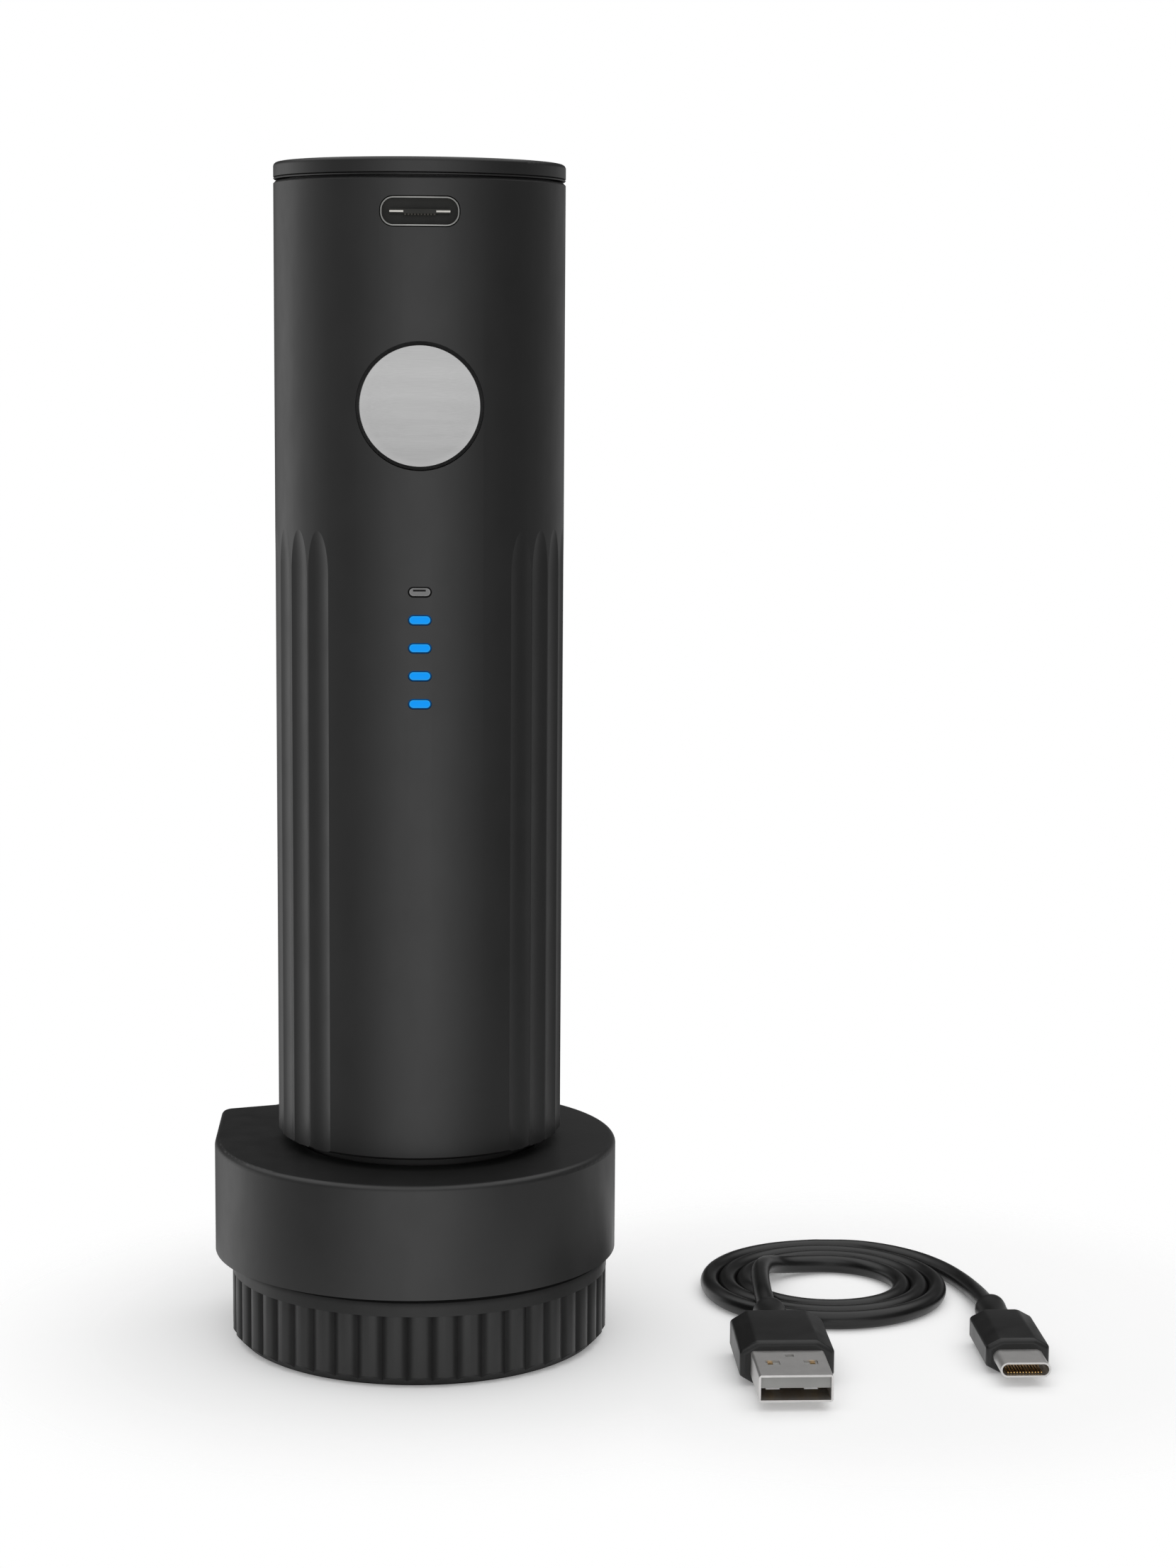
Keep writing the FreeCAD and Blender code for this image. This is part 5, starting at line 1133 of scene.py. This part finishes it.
@dataclass
class Electronics(Assembly):
    """Board with its small parts, cell and inner wires."""

    looks: Looks = (("solder_mask", "circuit_board"), ("machined_steel", "board_screws"),
                    ("cell_wrap", "battery_cell"), ("bush_brass", "battery_contacts"))
    wire: float = 1.1 * MM

    def build(self) -> None:
        """Build what is soldered to the board and the cell."""
        super().build()
        self.chips()
        self.wires()

    def chips(self) -> None:
        """Solder the small parts on both faces of the board; their places are in millimetres."""
        low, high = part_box("circuit_board")
        lamp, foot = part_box("charge_lamp")[1].z / MM, low.z / MM
        button, port, cell = (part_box(node)[0].z / MM for node in ("button_cap", "port_insert", "battery_cell"))
        middle = (button + lamp) / 2
        front = [(Part.CONTROLLER, -5.5, middle + 3), (Part.DRIVER, 5.0, middle + 2),
                 (Part.CHARGER, 6.5, port - 4)]
        front += [(Part.CAPACITOR, -9.0 + 2.4 * k, middle - 3.5) for k in range(3)]
        front += [(Part.RESISTOR, x, lamp - 2.5 - 4.5 * k) for k in range(4) for x in (-5.5, 5.5)]
        front += [(Part.CAPACITOR, x, port - 3) for x in (-7.5, -5.0, 1.0)]
        back = [(Part.COIL, -6.0, cell + 8), (Part.DRIVER, 5.0, cell + 9), (Part.DRIVER, -4.0, foot + 12),
                (Part.CAPACITOR, 3.0, foot + 12), (Part.CAPACITOR, 3.0, foot + 15),
                (Part.RESISTOR, 6.0, foot + 9)]
        dark, pale = [], []
        for places, face, out in ((front, low.y, -1), (back, high.y, 1)):
            for part, x, z in places:
                width, length, rise = (size * MM for size in part.value)
                near, far = sorted((face, face + out * rise))
                corner = (x * MM - width / 2, near, z * MM - length / 2)
                piece = rounded_box(corner, (x * MM + width / 2, far, z * MM + length / 2), min(0.12 * MM, rise / 4))
                (pale if part in (Part.CAPACITOR, Part.RESISTOR) else dark).append(piece)
        self.add(joined("chips", dark), "chip_black", Body.HANDLE, "inner_plastic")
        self.add(joined("chip_capacitors", pale), "solder_tin", Body.HANDLE, "steel")

    def wires(self) -> None:
        """Run the motor's and the cell's wires to the back of the board."""
        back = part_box("circuit_board")[1].y
        tags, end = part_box("motor_terminals")
        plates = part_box("battery_contacts")
        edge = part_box("battery_cell")[0].y - 1.4 * MM
        runs = []
        for x, name in ((tags.x, "wire_black"), (end.x, "wire_red")):
            inner, z = 0.55 * x, end.z - 0.8 * MM
            points = [(x, 0.0, z), (x, -2.5 * MM, z), (x, -7.0 * MM, z), (inner, back * 0.8, z),
                      (inner, back + 1.2 * MM, z), (inner, back, z)]
            runs.append((name, points))
        for plate, side, name in ((plates[0].z, 1, "wire_black"), (plates[1].z, -1, "wire_red")):
            x, z, turn = side * 4.0 * MM, plate + side * 0.9 * MM, plate + side * 5.0 * MM
            points = [(x, edge + 3.0 * MM, z - side * 0.6 * MM), (x, edge, z),
                      (x, edge - 1.5 * MM, z + side * 1.5 * MM), (x, back + 2.5 * MM, turn), (x, back, turn)]
            runs.append((name, points))
        for k, (name, points) in enumerate(runs):
            wire = strand("inner_wire_%d" % (k + 1), points, self.wire, 4)
            self.add(wire, name, Body.HANDLE, "lead_black")


# -------- studio
@dataclass
class Studio:
    """Pale floor, camera and soft light, whose strength depends on height (ring) and on bearing (around)."""

    finishes: Finishes
    distance: float = 537.8 * MM
    height: float = 169.8 * MM
    pitch: float = 7.904
    yaw: float = 3.022
    roll: float = 0.417
    lens: float = 73.84
    floor_reach: float = 0.4
    floor_corners: int = 64
    zenith: float = 1.3
    back_shade: float = 0.75
    ring: Stops = ((0.0, 1.0), (0.2, 1.0), (0.28, 0.25), (0.48, 0.25), (0.62, 1.0), (1.0, 1.0))
    around: Stops = ((-180, 0.05), (-158, 0.1), (-146, 0.5), (-128, 1.3), (-108, 0.95), (-65, 0.05), (-35, 0.55),
                     (0, 1.88), (35, 0.58), (65, 0.09), (100, 0.22), (145, 0.42), (180, 0.3))

    def build(self) -> None:
        """Set up the floor, the sky and the camera."""
        self.floor()
        self.sky()
        self.camera()

    def floor(self) -> None:
        """Lay a floor under the object that runs out into the white surroundings."""
        points = [on_circle(self.floor_reach, step / self.floor_corners) for step in range(self.floor_corners)]
        floor = new_mesh("floor", points, [range(self.floor_corners)])
        floor.data.materials.append(self.finishes["pale_floor"])

    def sky(self) -> None:
        """White surroundings whose light is strong from above and in front and weak from the sides."""
        world = bpy.data.worlds.new("studio")
        world.use_nodes = True
        bench = NodeBench(world.node_tree)
        toward = bench.axes(bench.add("TexCoord").outputs["Generated"])
        turn = bench.math("ARCTAN2", toward["X"], bench.math("MULTIPLY", toward["Y"], -1.0))
        share = bench.math("MULTIPLY_ADD", turn, 0.5 / math.pi, 0.5)
        level = bench.ramp(share, tuple(((angle + 180) / 360, shade / 2) for angle, shade in self.around))
        mixed = bench.tint(bench.step(toward["Z"], 0.45, 0.8), level, grey(self.zenith / 2))
        shade = bench.math("MULTIPLY", bench.step(toward["Y"], 0.55, 0.9), bench.step(toward["Z"], 0.05, 0.2))
        strength = bench.math("MULTIPLY_ADD", shade, -2.0 * self.back_shade, 2.0)
        strength = bench.math("MULTIPLY", strength, bench.ramp(toward["Z"], self.ring))
        light = bench.add("Background", {"Color": mixed, "Strength": strength})
        backdrop = bench.add("Background", {"Color": grey(1.0), "Strength": 1.0})
        seen = bench.add("LightPath").outputs["Is Camera Ray"]
        both = bench.add("MixShader", {0: seen, 1: light.outputs[0], 2: backdrop.outputs[0]})
        bench.feed(world.node_tree.nodes["World Output"].inputs["Surface"], both.outputs[0])
        bpy.context.scene.world = world

    def camera(self) -> None:
        """Place the camera."""
        data = bpy.data.cameras.new("camera")
        data.sensor_fit = "AUTO"
        data.sensor_width = 36.0
        data.lens = self.lens
        data.clip_start, data.clip_end = 0.01, 50.0
        look = (Matrix.Rotation(math.radians(-self.yaw), 4, "Z")
                @ Matrix.Rotation(math.radians(90.0 - self.pitch), 4, "X")
                @ Matrix.Rotation(math.radians(self.roll), 4, "Z"))
        obj = placed("camera", data)
        obj.matrix_world = Matrix.Translation((0.0, -self.distance, self.height)) @ look
        bpy.context.scene.camera = obj
        bpy.context.scene.view_settings.view_transform = "Standard"


def main() -> None:
    """Build the whole scene in order."""
    logging.basicConfig(level=logging.INFO, format="%(name)s %(message)s")
    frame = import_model()
    finishes = Finishes()
    Studio(finishes).build()
    for assembly in (ChargingLead, Stand, FoilCutter, Handle, PowerButton, ChargingPort, Lamps, Drive, Electronics):
        assembly(frame, finishes).build()


if __name__ == "__main__":
    main()
